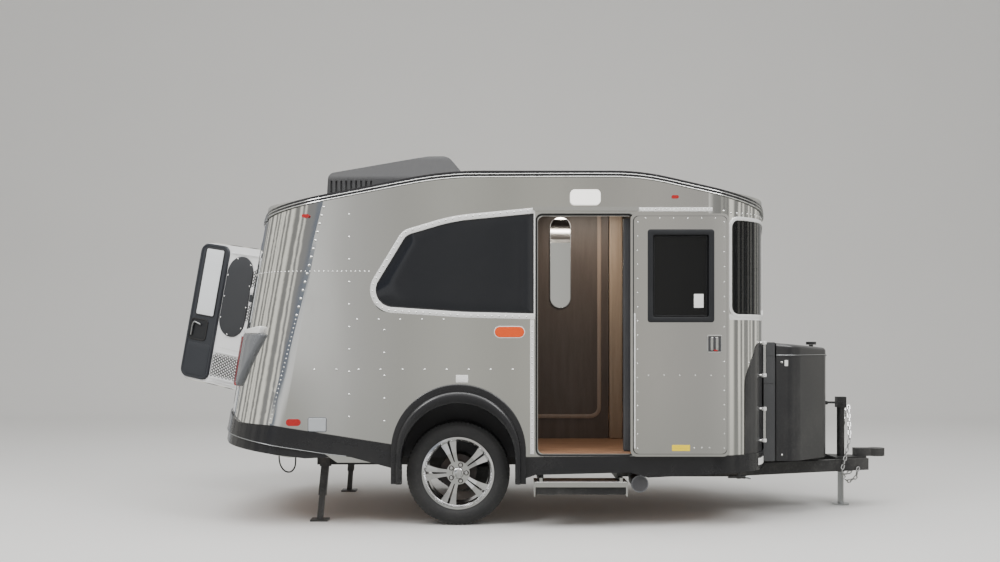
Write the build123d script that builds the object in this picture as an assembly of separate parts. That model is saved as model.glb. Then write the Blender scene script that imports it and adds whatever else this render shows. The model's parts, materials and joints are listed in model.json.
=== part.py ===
from build123d import *
from math import asin, cos, degrees, radians, sin, sqrt, tan
import os

# A small riveted travel caravan: hollow shell of wall panels on a steel chassis, standing as it
# parks on its wheels, tongue jack and rear legs, with the entry door and the rear hatch open.
# Millimetres. +X is forward, +Y the street side, -Y the kerb side with the door, +Z up.

# Body shell
HALF_WIDTH = 1030
WALL = 40
FRONT_X = 1800
REAR_TOP = (-1850, 2045)
REAR_LEAN = 10
END_RADIUS = 2200
CORNER_RADIUS = 430
SHELL_Z = (200, 2600)
FLOOR_TOP = 499
FLOOR_BOTTOM = 430
BODY_REACH = 1300
PROUD_REACH = 1094

# Roof line over the side wall, as corners (x, z) and the radii of the two middle ones
ROOF_LINE = [(-2300, 1970), (-480, 2324), (815, 2324), (2000, 2054)]
ROOF_RADII = [2600, 1600]
ROOF_TRIM = 43
CROWN = 75
TRIM_PROUD = 10

# Seams between the wall panels
REAR_SEAM = [(-1290, 2128), (-1650, 682)]
FRONT_SEAM_X = 1380

# Underside of the body, from the rear, as corners (x, z)
BELLY_LINE = [(-2300, 607), (-1527, 464), (-1250, 464), (-1200, FLOOR_BOTTOM), (2000, FLOOR_BOTTOM)]

# Belt cladding, as corners (x, z)
BELT_PROUD = 14
BELT_TOP = [(-2300, 760), (-2000, 745), (-1890, 692), (-1633, 677), (-837, 552), (40, 468), (2000, 480)]
BELT_BOTTOM = [(2000, 360), (1413, 360), (862, 332), (740, 366), (116, 350), (-51, 292), (-760, 374),
               (-1109, 468), (-1288, 489), (-1608, 538), (-1990, 606), (-2300, 650)]

# Valance set in under the belt at the rear, as corners (x, z)
VALANCE_PROUD = 4
VALANCE = [(-2300, 650), (-1990, 606), (-1608, 538), (-1288, 489), (-1250, 466), (-1411, 458),
           (-1600, 480), (-1990, 538), (-2300, 590)]

# Wheels
AXLE_X = -402
WHEEL_Y = 852
TYRE_R = 350
TYRE_WIDTH = 225
RIM_R = 241
HUB_FACE_R = 78
HUB_BORE_R = 38
DRUM_R = 122
SPOKE_PAIRS = 5
SPOKE_SLOT = (2, 9)
SPOKE_EDGE = (22, 35, 70)
DISH = 8
DISH_R = 140
BEAD_R = RIM_R - 18
FLANGE_R = RIM_R + 2
TYRE_HALF = TYRE_WIDTH / 2
SPOKE_Y = (-TYRE_HALF + 34, -TYRE_HALF + 58)
SPOKE_END_R = RIM_R - 29
SPINDLE_R = 20
SPINDLE_REACH = 70
RUNNING_GAP = 0.05
ARCH_X = -395
ARCH_WELL_R = 394
ARCH_LIP_R = 375
FLARE_R = 447
FLARE_STEP = 36
FLARE_SHELF = 34
FLARE_ROUND = 16
FLARE_FOOT_Z = 292
WELL_INNER_Y = 690

# Entry door, closed, in the kerb wall
DOOR_CUT = ((105, 787), (460, 2094))
DOOR_CLEAR = ((132, 777), (486, 2068))
DOOR_REBATE = ((115, 777), (469, 2085))
REBATE_DEPTH = 22
LEAF = ((120, 772), (474, 2080))
LEAF_SKIN = 18
LEAF_CORE = ((140, 752), (494, 2060))
LEAF_CORE_DEPTH = 22
DOOR_PIN = (757, -1039)
LEAF_WINDOW = ((225, 660), (1362, 1971))
LATCH = ((172, 272), (1158, 1277))
LATCH_PROUD = 6
DRIP_RAIL = ((96, 800), (2100, 2126))
DRIP_PROUD = 22
PORCH_LIGHT = ((345, 545), (2140, 2240))
PORCH_PROUD = 26

# Side window: outline corners (x, z) of the glass, with its corner radii
WINDOW_OUTLINE = [(85, 1430), (85, 2080), (-330, 2048), (-700, 1950), (-990, 1590), (-930, 1430)]
WINDOW_RADII = [30, 40, 400, 160, 60, 90]
WINDOW_FRAME = 30
WINDOW_PROUD = 8
GLASS_THICK = 6

# Front window band
FRONT_GLASS_Z = (1416, 2044)
FRONT_GLASS_X = 1423
FRONT_PANE_HALF = 400
FRONT_PILLAR = 60
FRONT_TRIM = 24
FRONT_TRIM_PROUD = 6
FRONT_GLASS_DEPTH = 4

# Rear hatch, measured in the plane of the leaning rear wall
HATCH_WIDTH = 880
HATCH_HEIGHT = 1165
HATCH_BOTTOM_Z = 801
HATCH_GAP = 5
HATCH_CORNER = 90
HATCH_OPEN = 122
HATCH_PIN_OUT = 14
PILL_Y = (-104, 138)
PILL_Z = (441, 1056)
PILL_CORNER = 118
PILL_RIM = 24
HATCH_SKIN = 28
HATCH_LINER_INSET = 8
COVER_PROUD = 8
BAND = (20, 300)
BAND_CORNER = 70
BAND_PROUD = 14

# Chassis
RAIL_Y = 480
RAIL = (50, 72)
RAIL_X = (-1420, 1500)
CROSS_X = [-1380, -760, 60, 800, 1440]
TONGUE_Z = (273, 358)
TONGUE_BEND_X = 1500
TONGUE_REACH_Y = 455
TONGUE_TAPER = 410 / 1140
NOSE_X = 2788
NOSE_R = 62
SOCKET_R = 25.6
COUPLER_PLATE = [(2380, -138), (2640, -45), (2640, 45), (2380, 138)]
COUPLER_HEIGHT = 58
COUPLER_HALF = 40

# Axle: beam, trailing arms and backing plates
BEAM_X = (-280, -200)
BEAM_HEIGHT = 80
ARM_Y = (560, 590)
SPINDLE_ROOT_R = 34
BACKING_Y = (700, 706)
BACKING_R = 128

# Stance
LEG_TOP = (-1329, 700, 400)
LEG_LEAN = 4.7
LEG_SPLAY = 6
JACK_X = 2459
JACK_TOP = 805
JACK_R = 28
JACK_INNER_R = 22
JACK_FOOT_R = 62
CRANK_ARM = 140
CRANK_Y = (-30, -62, -120)
CHAIN_HOOK_Z = (738, 746)
LEG_TUBE = 50
LEG_INNER = 38
LEG_BOLT_R = 8
EAR = 8
EAR_GAP = 1

# Butt hinges, and their heights on the door and on the hatch
HINGE_R = 6
HINGE_PIN_R = 3
HINGE_LENGTH = 90
SLEEVE_LENGTH = 30
SLEEVE_GAP = 2
DOOR_HINGE_Z = [600, 1250, 1900]
HATCH_HINGE_Z = [140, 580, 1020]
HATCH_HINGE_RISE = 30

# Tongue box: plan corners (x, y) of its near half with their radii, lid hinged at its front edge
BOX_PLAN = [(1834, -550), (1975, -550), (2280, -250)]
BOX_RADII = [0, 150, 110]
BOX_X = (BOX_PLAN[0][0], BOX_PLAN[2][0])
BOX_HALF = 550
BOX_Z = (388, 1131)
LID_TOP_Z = (1224, 1186)
LID_GAP = 1
LID_ROUND = 28
LID_PIN_OUT = 10
LID_HINGE_Y = [-150, 150]
BOX_WALL = 12
BOX_BEAM = 60
KNOB_PLACE = (2235, 0, 1192)
KNOB_STEM = (16, 32)
KNOB_HEAD = (38, 22)

# Fairing between the box and the curved front wall, with its seams' heights
FAIRING_Y = (-550, -240)
FAIRING_GAP = 10
FAIRING_SEAMS = [937, 1131]

# Gas bottles
BOTTLE_PLACE = (2010, 235)
BOTTLE_R = 150
BOTTLE_BODY = 380
BOTTLE_SHOULDER = 60
COLLAR = (70, 90)

# Stone guard on the lower front wall, with its upright bars
GUARD_PROUD = 4
GUARD_X = 1524
GUARD_TOP_Z = 1224
GUARD_BAR_Y = 745
GUARD_BAR_Z = [(540, 782), (989, 1237)]
GUARD_BAR_R = 12
GUARD_POST_R = 8
GUARD_BAR_OUT = 30

# Sliding step
STEP_X = (106, 722)
STEP_DEPTH = 230
STEP_TOP = 308
STEP_PLATE = 22
STEP_GUSSET = [(-1084, 286), (-900, 286), (-1000, 212), (-1084, 212)]
STEP_FRONT_Y = -1094
ARM_X = [140, 668]
ARM_WIDTH = 20
ARM_Z = (318, 336)
ARM_REACH_Y = -560
GUIDE_Y = (-1000, -460)

# Waste pipe
PIPE_X, PIPE_Z = 809, 288
PIPE_R, CAP_R = 45, 57
PIPE_Y = (-1024, -1000, -760)

# Rooftop air conditioner, as corners (x, z) with their radii
AIR_PROFILE = [(-1382, 2200), (-1366, 2455), (-640, 2590), (-500, 2590), (-396, 2462), (-396, 2380)]
AIR_RADII = [10, 50, 120, 90, 40, 10]
AIR_HALF = 350
VENT_COUNT = 9
VENT_PITCH = 36
VENT_WIDTH = 14
VENT_DEPTH = 16
VENT_Z = (2290, 2400)
AIR_END = [(350, 2100), (350, 2420), (280, 2600)]
AIR_END_RADII = [5, 90, 60]

# Cabin furniture
PANEL = 20
BATH_X = (100, 700)
BATH_Y = (0, 990)
MIRROR = ((259, 414), (1487, 2175))
GALLEY_X = (1250, 1790)
GALLEY_TOP = 1390
BENCH_X = (-1560, 60)
BENCH_FRONT_Y = -600
BENCH_TOP = 880
SEAT_X = [(-1556, -755), (-745, 56)]
BACK_X = [(-1500, -755), (-745, 56)]
BACK_TOP = 1360
CUSHION_THICK = 100

# Lamps: outline (y, z) of the tail lamp in the plane of the leaning wall, with its pointed foot
LAMP_PROUD = 34
LAMP_FACE = [(-930, 172), (-868, 128), (-745, 150), (-745, 490), (-930, 490)]
LENS_FACE = [(-745, 150), (-640, 164), (-640, 490), (-745, 490)]
SIDE_MARKERS = [(-1410, 2067), (1041, 2193)]

# Safety chains, looped over the jack's head
LINK_WIRE = 7
LINK_PITCH = 34
LINK_OUTER = [(-13, -13), (0, -23), (13, -13), (13, 13), (0, 23), (-13, 13)]
LINK_INNER = [(-6, -10), (0, -15), (6, -10), (6, 10), (0, 15), (-6, 10)]
CHAIN_ROUTES = [[(2508, -30, 752), (2480, -150, 500), (2395, -224, 270), (2440, -216, 195),
                 (2520, -172, 225), (2545, -150, 300)],
                [(2508, 30, 752), (2512, 150, 500), (2475, 196, 260), (2530, 182, 195),
                 (2590, 150, 235), (2605, 130, 300)]]
CHAIN_RADII = [120, 60, 40, 30]

# Tether cord: radius, route from clip to clip and the clips' radius
TETHER_R = 5
TETHER_ROUTE = [(-1612, -900, 468), (-1612, -900, 432), (-1600, -904, 390), (-1568, -908, 354),
                (-1528, -908, 352), (-1504, -904, 384), (-1500, -900, 422), (-1500, -900, 458)]
TETHER_CLIP_R = 11

os.makedirs("parts", exist_ok=True)


def block(x, y, z):
    """Box between a low and a high limit on each axis."""
    size = Box(x[1] - x[0], y[1] - y[0], z[1] - z[0])
    return Pos((x[0] + x[1]) / 2, (y[0] + y[1]) / 2, (z[0] + z[1]) / 2) * size


def polygon(points):
    """Flat face with straight edges in a drawing plane."""
    return make_face(Polyline(*points, close=True))


def rounded_polygon(points, corner_radii):
    """Flat face whose corners have a radius each, or none where it is 0."""
    face = polygon(points)
    for point, radius in zip(points, corner_radii):
        if radius:
            corner = face.vertices().sort_by_distance((*point, 0))[0]
            face = fillet(corner, radius)
    return face


def rectangle(u, v, radius=0):
    """Flat rectangle between limits, with round corners where a radius is given."""
    width, height = u[1] - u[0], v[1] - v[0]
    shape = RectangleRounded(width, height, radius) if radius else Rectangle(width, height)
    return Pos((u[0] + u[1]) / 2, (v[0] + v[1]) / 2) * shape


def across(face, y):
    """Solid of a side drawing (x, z) between two Y limits."""
    plane = Plane(origin=(0, y[1], 0), x_dir=(1, 0, 0), z_dir=(0, -1, 0))
    return extrude(plane * face, amount=y[1] - y[0])


def along(face, x):
    """Solid of an end drawing (y, z) between two X limits."""
    plane = Plane(origin=(x[0], 0, 0), x_dir=(0, 1, 0), z_dir=(1, 0, 0))
    return extrude(plane * face, amount=x[1] - x[0])


def upright(face, z):
    """Solid of a plan drawing (x, y) between two Z limits."""
    return extrude(Pos(0, 0, z[0]) * face, amount=z[1] - z[0])


def rod(start, end, radius):
    """Round bar between two points."""
    direction = Vector(*end) - Vector(*start)
    plane = Plane(origin=start, z_dir=direction)
    return extrude(plane * Circle(radius), amount=direction.length)


def mirrored(shape):
    """The same piece on the other side of the caravan."""
    return mirror(shape, about=Plane.XZ)


def pair(shape):
    """A kerb-side piece and its street-side twin, as solids that don't touch."""
    return Compound(children=[*shape.solids(), *mirrored(shape).solids()])


def together(shapes):
    """Several solids that share one node."""
    return Compound(children=[solid for shape in shapes for solid in shape.solids()])


# Body outline

def rear_x(z):
    """Rearmost point of the body's centre line at a height."""
    return REAR_TOP[0] - (REAR_TOP[1] - z) * tan(radians(REAR_LEAN))


def plan_outline(z, inset):
    """Plan at a height: straight sides, and at each end a wide arc between two round corners."""
    half_turn = degrees(asin((HALF_WIDTH - CORNER_RADIUS) / (END_RADIUS - CORNER_RADIUS)))
    corner_sweep = 90 - half_turn
    wide = END_RADIUS - inset
    corner = CORNER_RADIUS - inset
    corner_y = HALF_WIDTH - CORNER_RADIUS
    reach = sqrt((END_RADIUS - CORNER_RADIUS) ** 2 - corner_y ** 2)
    rear_centre = rear_x(z) + END_RADIUS
    front_centre = FRONT_X - END_RADIUS
    rear_corner = rear_centre - reach
    front_corner = front_centre + reach
    side = HALF_WIDTH - inset
    edges = [
        CenterArc((front_corner, -corner_y), corner, -90, corner_sweep),
        CenterArc((front_centre, 0), wide, -half_turn, 2 * half_turn),
        CenterArc((front_corner, corner_y), corner, half_turn, corner_sweep),
        Line((front_corner, side), (rear_corner, side)),
        CenterArc((rear_corner, corner_y), corner, 90, corner_sweep),
        CenterArc((rear_centre, 0), wide, 180 - half_turn, 2 * half_turn),
        CenterArc((rear_corner, -corner_y), corner, 180 + half_turn, corner_sweep),
        Line((rear_corner, -side), (front_corner, -side)),
    ]
    return Pos(0, 0, z) * make_face(edges)


def body_prism(inset):
    """The body's plan raised along its leaning rear wall, drawn in by an inset."""
    return loft([plan_outline(z, inset) for z in SHELL_Z], ruled=True)


def roof_edge(y, lift):
    """The roof line at a distance from the centre plane, raised by a lift."""
    return FilletPolyline(*[(x, y, z + lift) for x, z in ROOF_LINE], radius=ROOF_RADII)


def roof_section(y, lift, base):
    """Face between the roof line and a level base."""
    top = roof_edge(y, lift)
    start, end = top @ 0, top @ 1
    rest = Polyline(end, (end.X, y, base), (start.X, y, base), start)
    return make_face([*top.edges(), *rest.edges()])


def under_roof(lift):
    """All that lies under the crowned roof surface."""
    edge_y = HALF_WIDTH + 70
    edge_lift = ROOF_TRIM + CROWN * (1 - (edge_y / HALF_WIDTH) ** 2) + lift
    centre_lift = ROOF_TRIM + CROWN + lift
    sections = [(-edge_y, edge_lift), (0, centre_lift), (edge_y, edge_lift)]
    return loft([roof_section(y, rise, SHELL_Z[0]) for y, rise in sections])


def level_band(low, high):
    """What lies between two heights over the roof line, across the whole width."""
    faces = roof_section(-BODY_REACH, high, SHELL_Z[0])
    under = extrude(faces, amount=2 * BODY_REACH, dir=(0, 1, 0))
    if low is None:
        return under
    cut = extrude(roof_section(-BODY_REACH, low, SHELL_Z[0]), amount=2 * BODY_REACH, dir=(0, 1, 0))
    return under - cut


def above_belly():
    """All that lies over the body's underside."""
    top = [(2000, 3000), (-2300, 3000)]
    return across(polygon(BELLY_LINE + top), (-BODY_REACH, BODY_REACH))


OUTER = body_prism(0)
INNER = body_prism(WALL)
WALL_ZONE = level_band(None, 0)
SHELL = ((OUTER & under_roof(0)) - (INNER & under_roof(-WALL))) & above_belly()
WALLS = SHELL & WALL_ZONE
ROOF = SHELL - WALL_ZONE


def rear_zone():
    """What lies behind the rear seam."""
    (top_x, top_z), (low_x, low_z) = REAR_SEAM
    slope = (top_x - low_x) / (top_z - low_z)
    high, low = 3000, 100
    points = [(top_x + slope * (high - top_z), high), (low_x + slope * (low - low_z), low),
              (-2600, low), (-2600, high)]
    return across(polygon(points), (-BODY_REACH, BODY_REACH))


def front_zone():
    """What lies ahead of the front seam."""
    return block((FRONT_SEAM_X, 2100), (-BODY_REACH, BODY_REACH), (100, 3000))


def arch_outline(radius, low, centre_z=450):
    """Wheel-arch drawing: a half circle on straight legs."""
    sides = (ARCH_X - radius, ARCH_X + radius)
    dome = Pos(ARCH_X, centre_z) * Circle(radius) & rectangle(sides, (centre_z, centre_z + radius))
    return dome + rectangle(sides, (low, centre_z))


def front_surface_x(y):
    """X of the front wall's outside at a distance from the centre line, on the wide arc."""
    return FRONT_X - END_RADIUS + sqrt(END_RADIUS ** 2 - y ** 2)


def window_outline():
    """Side window: straight sill and front edge, top rising with the roof, round rear end."""
    return rounded_polygon(WINDOW_OUTLINE, WINDOW_RADII)


KERB_WALL = (-BODY_REACH, -HALF_WIDTH + WALL + 60)


def side_wall():
    """Kerb-side wall before its doorway is cut, between the two end panels."""
    half = block((-2600, 2100), (-BODY_REACH, -HALF_WIDTH / 2), (100, 3000))
    wall = (WALLS & half) - rear_zone() - front_zone()
    wall -= across(arch_outline(ARCH_WELL_R, 300), KERB_WALL)
    return wall - across(window_outline(), KERB_WALL)


def front_window_cutters(margin):
    """Three front panes as cutting blocks, each larger by a margin."""
    z = (FRONT_GLASS_Z[0] - margin, FRONT_GLASS_Z[1] + margin)
    centre = along(rectangle((-FRONT_PANE_HALF - margin, FRONT_PANE_HALF + margin), z, 50 + margin),
                   (1500, 2100))
    inner_y = FRONT_PANE_HALF + FRONT_PILLAR - margin
    corner = across(rectangle((FRONT_GLASS_X - margin, 2100), z, 50 + margin),
                    (-BODY_REACH, -inner_y))
    return [centre, corner, mirrored(corner)]


# Rear hatch frame of reference: z runs up the leaning wall, x points into the cabin

HATCH_FRAME = Pos(rear_x(HATCH_BOTTOM_Z), 0, HATCH_BOTTOM_Z) * Rot(0, REAR_LEAN, 0)


def hatch_panel(grow, x, corner=HATCH_CORNER):
    """Rounded block in the plane of the rear wall, larger than the hatch by a margin."""
    y = (-HATCH_WIDTH / 2 - grow, HATCH_WIDTH / 2 + grow)
    z = (-grow, HATCH_HEIGHT + grow)
    return HATCH_FRAME * along(rectangle(y, z, corner + grow), x)


def hatch_pin():
    """Point and direction of the hatch's hinge line."""
    y = HATCH_WIDTH / 2 + 12
    sag = END_RADIUS - sqrt(END_RADIUS ** 2 - y ** 2)
    base = HATCH_FRAME * Pos(sag - HATCH_PIN_OUT, y, 0)
    return base.position, Vector(sin(radians(REAR_LEAN)), 0, cos(radians(REAR_LEAN)))


PIN_POINT, PIN_DIRECTION = hatch_pin()
HATCH_AXIS = Axis(PIN_POINT, PIN_DIRECTION)
DOOR_AXIS = Axis((DOOR_PIN[0], DOOR_PIN[1], 0), (0, 0, 1))


def opened_hatch(shape):
    """A piece of the hatch, swung from shut to its open place."""
    return shape.rotate(HATCH_AXIS, -HATCH_OPEN)


def opened_door(shape):
    """A piece of the door, swung from shut to flat against the wall ahead of the doorway."""
    return shape.rotate(DOOR_AXIS, 180)


def hinge(rise, fixed_foot, moving_foot):
    """Butt hinge about the local z axis, standing off the surface at y = rise.

    The fixed half holds the pin and two barrels and reaches to +x; the moving half is a sleeve
    between them and reaches to -x. Each ends in a foot on the surface.
    """
    barrel_length = (HINGE_LENGTH - SLEEVE_LENGTH) / 2 - SLEEVE_GAP
    barrel_z = (HINGE_LENGTH - barrel_length) / 2
    fixed = Cylinder(HINGE_PIN_R, HINGE_LENGTH)
    for z in (-barrel_z, barrel_z):
        span = (z - barrel_length / 2, z + barrel_length / 2)
        fixed += Pos(0, 0, z) * Cylinder(HINGE_R, barrel_length)
        fixed += block((0, fixed_foot[1]), (2, 5), span)
        fixed += block(fixed_foot, (2, rise), span)
    span = (-SLEEVE_LENGTH / 2, SLEEVE_LENGTH / 2)
    moving = Cylinder(HINGE_R, SLEEVE_LENGTH)
    moving += block((-moving_foot[1], 0), (2, 5), span)
    moving += block((-moving_foot[1], -moving_foot[0]), (2, rise), span)
    moving -= Cylinder(HINGE_PIN_R + RUNNING_GAP, HINGE_LENGTH)
    return fixed, moving


nodes = {}

# Wall panels

kerb = side_wall()
nodes["side_wall_street"] = mirrored(kerb)
nodes["side_wall_kerb"] = kerb - across(rectangle(*DOOR_CUT, 60), KERB_WALL)
nodes["roof_panel"] = ROOF
rear_panel = WALLS & rear_zone()
nodes["rear_wall"] = rear_panel - hatch_panel(HATCH_GAP, (-300, 300))
front_panel = WALLS & front_zone()
for cutter in front_window_cutters(0):
    front_panel -= cutter
nodes["front_wall"] = front_panel

# Roof trim band round the whole body

skin = body_prism(-TRIM_PROUD) - OUTER
nodes["roof_trim"] = skin & level_band(0, ROOF_TRIM)

# Belt cladding, in one skin split at the seams

belt_skin = body_prism(-BELT_PROUD) - OUTER
belt_side = across(polygon(BELT_TOP + BELT_BOTTOM), (-BODY_REACH, BODY_REACH))
belt_side -= across(arch_outline(FLARE_R, 100, 505), (-BODY_REACH, BODY_REACH))
belt = belt_skin & belt_side
valance_side = across(polygon(VALANCE), (-BODY_REACH, BODY_REACH))
belt += ((body_prism(-VALANCE_PROUD) - body_prism(VALANCE_PROUD)) & valance_side) - SHELL
nodes["belt_ends"] = together([belt & rear_zone(), belt & front_zone()])
nodes["belt_sides"] = together([belt - rear_zone() - front_zone()])

# Wheel-arch flares: a low outer step and a high lip

flare_low = -HALF_WIDTH - FLARE_STEP
flare_outer = arch_outline(FLARE_R, FLARE_FOOT_Z, 505) - arch_outline(ARCH_LIP_R, 100)
flare_inner = arch_outline(FLARE_R - FLARE_SHELF, FLARE_FOOT_Z, 490) - arch_outline(ARCH_LIP_R, 100)
flare = across(flare_inner, (-PROUD_REACH, flare_low))
flare = fillet(flare.edges().group_by(Axis.Y)[0], FLARE_ROUND)
flare += across(flare_outer, (flare_low, -HALF_WIDTH))
nodes["wheel_flares"] = pair(flare)

# Wheel wells inside the cabin

well_side = (-HALF_WIDTH + WALL, -WELL_INNER_Y)
well = across(arch_outline(ARCH_WELL_R + 6, FLOOR_BOTTOM), well_side)
well -= across(arch_outline(ARCH_WELL_R, 100), (-BODY_REACH, -WELL_INNER_Y - 6))
nodes["wheel_wells"] = pair(well)

# Floor between the walls

floor_top = [(2000, FLOOR_TOP), (-1500, FLOOR_TOP), (-2300, 690)]
floor = across(polygon(BELLY_LINE + floor_top), (-BODY_REACH, BODY_REACH)) & INNER
well_space = across(arch_outline(ARCH_WELL_R + 6, 100), (-BODY_REACH, -WELL_INNER_Y))
nodes["floor_pan"] = floor - well_space - mirrored(well_space)

# Side windows

opening = window_outline()
frame_ring = offset(opening, WINDOW_FRAME) - opening
window_frame = across(frame_ring, (-HALF_WIDTH - WINDOW_PROUD, -HALF_WIDTH))
side_glass = across(opening, (-HALF_WIDTH, -HALF_WIDTH + GLASS_THICK))

# Front windows

glass_layer = body_prism(FRONT_GLASS_DEPTH) - body_prism(FRONT_GLASS_DEPTH + GLASS_THICK)
front_panes = [glass_layer & cutter for cutter in front_window_cutters(0)]
nodes["window_glass"] = together([pair(side_glass), *front_panes])
front_trim = body_prism(-FRONT_TRIM_PROUD) - OUTER
inner_cut = front_window_cutters(0)
outer_cut = front_window_cutters(FRONT_TRIM)
trim_zone = outer_cut[0] + outer_cut[1] + outer_cut[2]
for cutter in inner_cut:
    trim_zone -= cutter
nodes["window_frames"] = together([pair(window_frame), front_trim & trim_zone])

# Doorway frame with a rebate for the leaf

wall_y = (-HALF_WIDTH, -HALF_WIDTH + WALL)
door_frame = across(rectangle(*DOOR_CUT, 60), wall_y)
door_frame -= across(rectangle(*DOOR_CLEAR, 40), KERB_WALL)
door_frame -= across(rectangle(*DOOR_REBATE, 45), (-BODY_REACH, -HALF_WIDTH + REBATE_DEPTH))
nodes["door_frame"] = door_frame
nodes["drip_rail"] = across(rectangle(*DRIP_RAIL, 12), (-HALF_WIDTH - DRIP_PROUD, -HALF_WIDTH))
porch_y = (-HALF_WIDTH - PORCH_PROUD, -HALF_WIDTH)
nodes["porch_light"] = across(rectangle(*PORCH_LIGHT, 30), porch_y)

# Entry door

leaf = across(rectangle(*LEAF, 40), (-HALF_WIDTH, -HALF_WIDTH + LEAF_SKIN))
core_y = (-HALF_WIDTH + LEAF_SKIN, -HALF_WIDTH + LEAF_SKIN + LEAF_CORE_DEPTH)
leaf += across(rectangle(*LEAF_CORE, 35), core_y)
leaf_hole = across(rectangle(*LEAF_WINDOW, 45), KERB_WALL)
leaf_glass = across(rectangle(*LEAF_WINDOW, 45), (-HALF_WIDTH + 12, -HALF_WIDTH + 12 + GLASS_THICK))
nodes["door_glass"] = opened_door(leaf_glass)
latch = across(rectangle(*LATCH, 14), (core_y[1], core_y[1] + LATCH_PROUD))
nodes["door_latch"] = opened_door(latch)

# Door hinges in three places

door_rise = -HALF_WIDTH - DOOR_PIN[1]
door_fixed, door_moving = hinge(door_rise, fixed_foot=(30, 55), moving_foot=(14, 42))
door_leaf = leaf - leaf_hole
hinge_pins = []
for z in DOOR_HINGE_Z:
    place = Pos(*DOOR_PIN, z)
    hinge_pins.append(place * door_fixed)
    door_leaf += place * door_moving
nodes["door_leaf"] = opened_door(door_leaf)

# Rear hatch: outer skin, pale liner, dark band and cover inside

hatch_zone = hatch_panel(0, (-300, 300))
pill = rectangle(PILL_Y, PILL_Z, PILL_CORNER)
pill_cut = HATCH_FRAME * along(pill, (-300, 300))
hatch_skin = (OUTER - body_prism(HATCH_SKIN)) & hatch_zone
hatch_liner = (body_prism(HATCH_SKIN) - INNER) & hatch_panel(-HATCH_LINER_INSET, (-300, 300))
nodes["hatch_liner"] = opened_hatch(hatch_liner - pill_cut)
hatch_glass = (body_prism(GLASS_THICK) - body_prism(2 * GLASS_THICK)) & pill_cut
nodes["hatch_glass"] = opened_hatch(hatch_glass)

cover_y = (PILL_Y[0] - PILL_RIM, PILL_Y[1] + PILL_RIM)
cover_z = (PILL_Z[0] - PILL_RIM, PILL_Z[1] + PILL_RIM)
cover_face = rectangle(cover_y, cover_z, PILL_CORNER + PILL_RIM)
cover = HATCH_FRAME * along(cover_face, (-300, 300))
hatch_cover = (INNER - body_prism(WALL + COVER_PROUD)) & cover
band_y = (-HATCH_WIDTH / 2 + BAND[0], -HATCH_WIDTH / 2 + BAND[1])
band_face = rectangle(band_y, (PILL_RIM, HATCH_HEIGHT - PILL_RIM), BAND_CORNER)
band = HATCH_FRAME * along(band_face, (-300, 300))
hatch_band = (INNER - body_prism(WALL + BAND_PROUD)) & band
nodes["hatch_trim"] = opened_hatch(together([hatch_cover, hatch_band]))

# Hatch hinges along the leaning pin

hatch_fixed, hatch_moving = hinge(HATCH_HINGE_RISE, fixed_foot=(24, 56), moving_foot=(24, 56))
pin_place = HATCH_FRAME.inverse() * Pos(*PIN_POINT)
hatch_leaf = hatch_skin - pill_cut
for z in HATCH_HINGE_Z:
    origin = (pin_place.position.X, pin_place.position.Y, z)
    place = HATCH_FRAME * Plane(origin=origin, x_dir=(0, 1, 0), z_dir=(0, 0, -1)).location
    hinge_pins.append(place * hatch_fixed - OUTER)
    hatch_leaf += place * hatch_moving - OUTER
nodes["hatch_skin"] = opened_hatch(hatch_leaf)

# Chassis: rails, cross members, tongue rails

rail_z = (FLOOR_BOTTOM - RAIL[1], FLOOR_BOTTOM)
nodes["chassis_rails"] = pair(block(RAIL_X, (-RAIL_Y - RAIL[0] / 2, -RAIL_Y + RAIL[0] / 2), rail_z))
cross_y = (-RAIL_Y + RAIL[0] / 2, RAIL_Y - RAIL[0] / 2)
nodes["cross_members"] = together([block((x - 30, x + 30), cross_y, rail_z) for x in CROSS_X])
tongue_outer = [(700, -505), (TONGUE_BEND_X, -505), (2640, -95)]
tongue_plan = polygon(tongue_outer + [(x, y + RAIL[0]) for x, y in reversed(tongue_outer)])
nodes["tongue_rails"] = pair(upright(tongue_plan, TONGUE_Z))

# Coupler: plate between the tongue rails and a socket for the ball

plate_z = (TONGUE_Z[1], TONGUE_Z[1] + 12)
coupler = upright(polygon(COUPLER_PLATE), plate_z)
body_z = (plate_z[1], plate_z[1] + COUPLER_HEIGHT)
coupler += block((2560, NOSE_X - NOSE_R), (-COUPLER_HALF, COUPLER_HALF), body_z)
coupler += Pos(NOSE_X - NOSE_R, 0, sum(body_z) / 2) * Cylinder(NOSE_R, COUPLER_HEIGHT)
coupler -= Pos(NOSE_X - NOSE_R, 0, plate_z[1] + 20) * Cylinder(SOCKET_R, 50)
nodes["coupler"] = coupler

# Axle: square beam under the rails, trailing arms, spindles and backing plates

beam_z = FLOOR_BOTTOM - RAIL[1]
axle = block(BEAM_X, (-ARM_Y[0], ARM_Y[0]), (beam_z - BEAM_HEIGHT, beam_z))
turned_parts = [(ARM_Y[0], WHEEL_Y + SPINDLE_REACH, SPINDLE_R), (ARM_Y[1], BACKING_Y[0], SPINDLE_ROOT_R),
                (*BACKING_Y, BACKING_R)]
for side in (-1, 1):
    arm_y = sorted((side * ARM_Y[0], side * ARM_Y[1]))
    axle += block((AXLE_X - 40, BEAM_X[1]), arm_y, (beam_z - BEAM_HEIGHT + 5, beam_z - 5))
    for start, end, radius in turned_parts:
        axle += rod((AXLE_X, side * start, TYRE_R), (AXLE_X, side * end, TYRE_R), radius)
nodes["axle"] = axle

# Wheels


def revolved(points):
    """Turned piece from a half section (radius, y offset from the wheel's middle)."""
    face = Plane(origin=(0, 0, 0), x_dir=(1, 0, 0), z_dir=(0, 0, 1)) * polygon(points)
    return revolve(face, axis=Axis.Y)


def both_edges(points):
    """A section's points on its outer half, then the same on its inner half in reverse."""
    outer = [(radius, y - TYRE_HALF) for radius, y in points]
    return outer + [(radius, -y) for radius, y in reversed(outer)]


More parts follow.
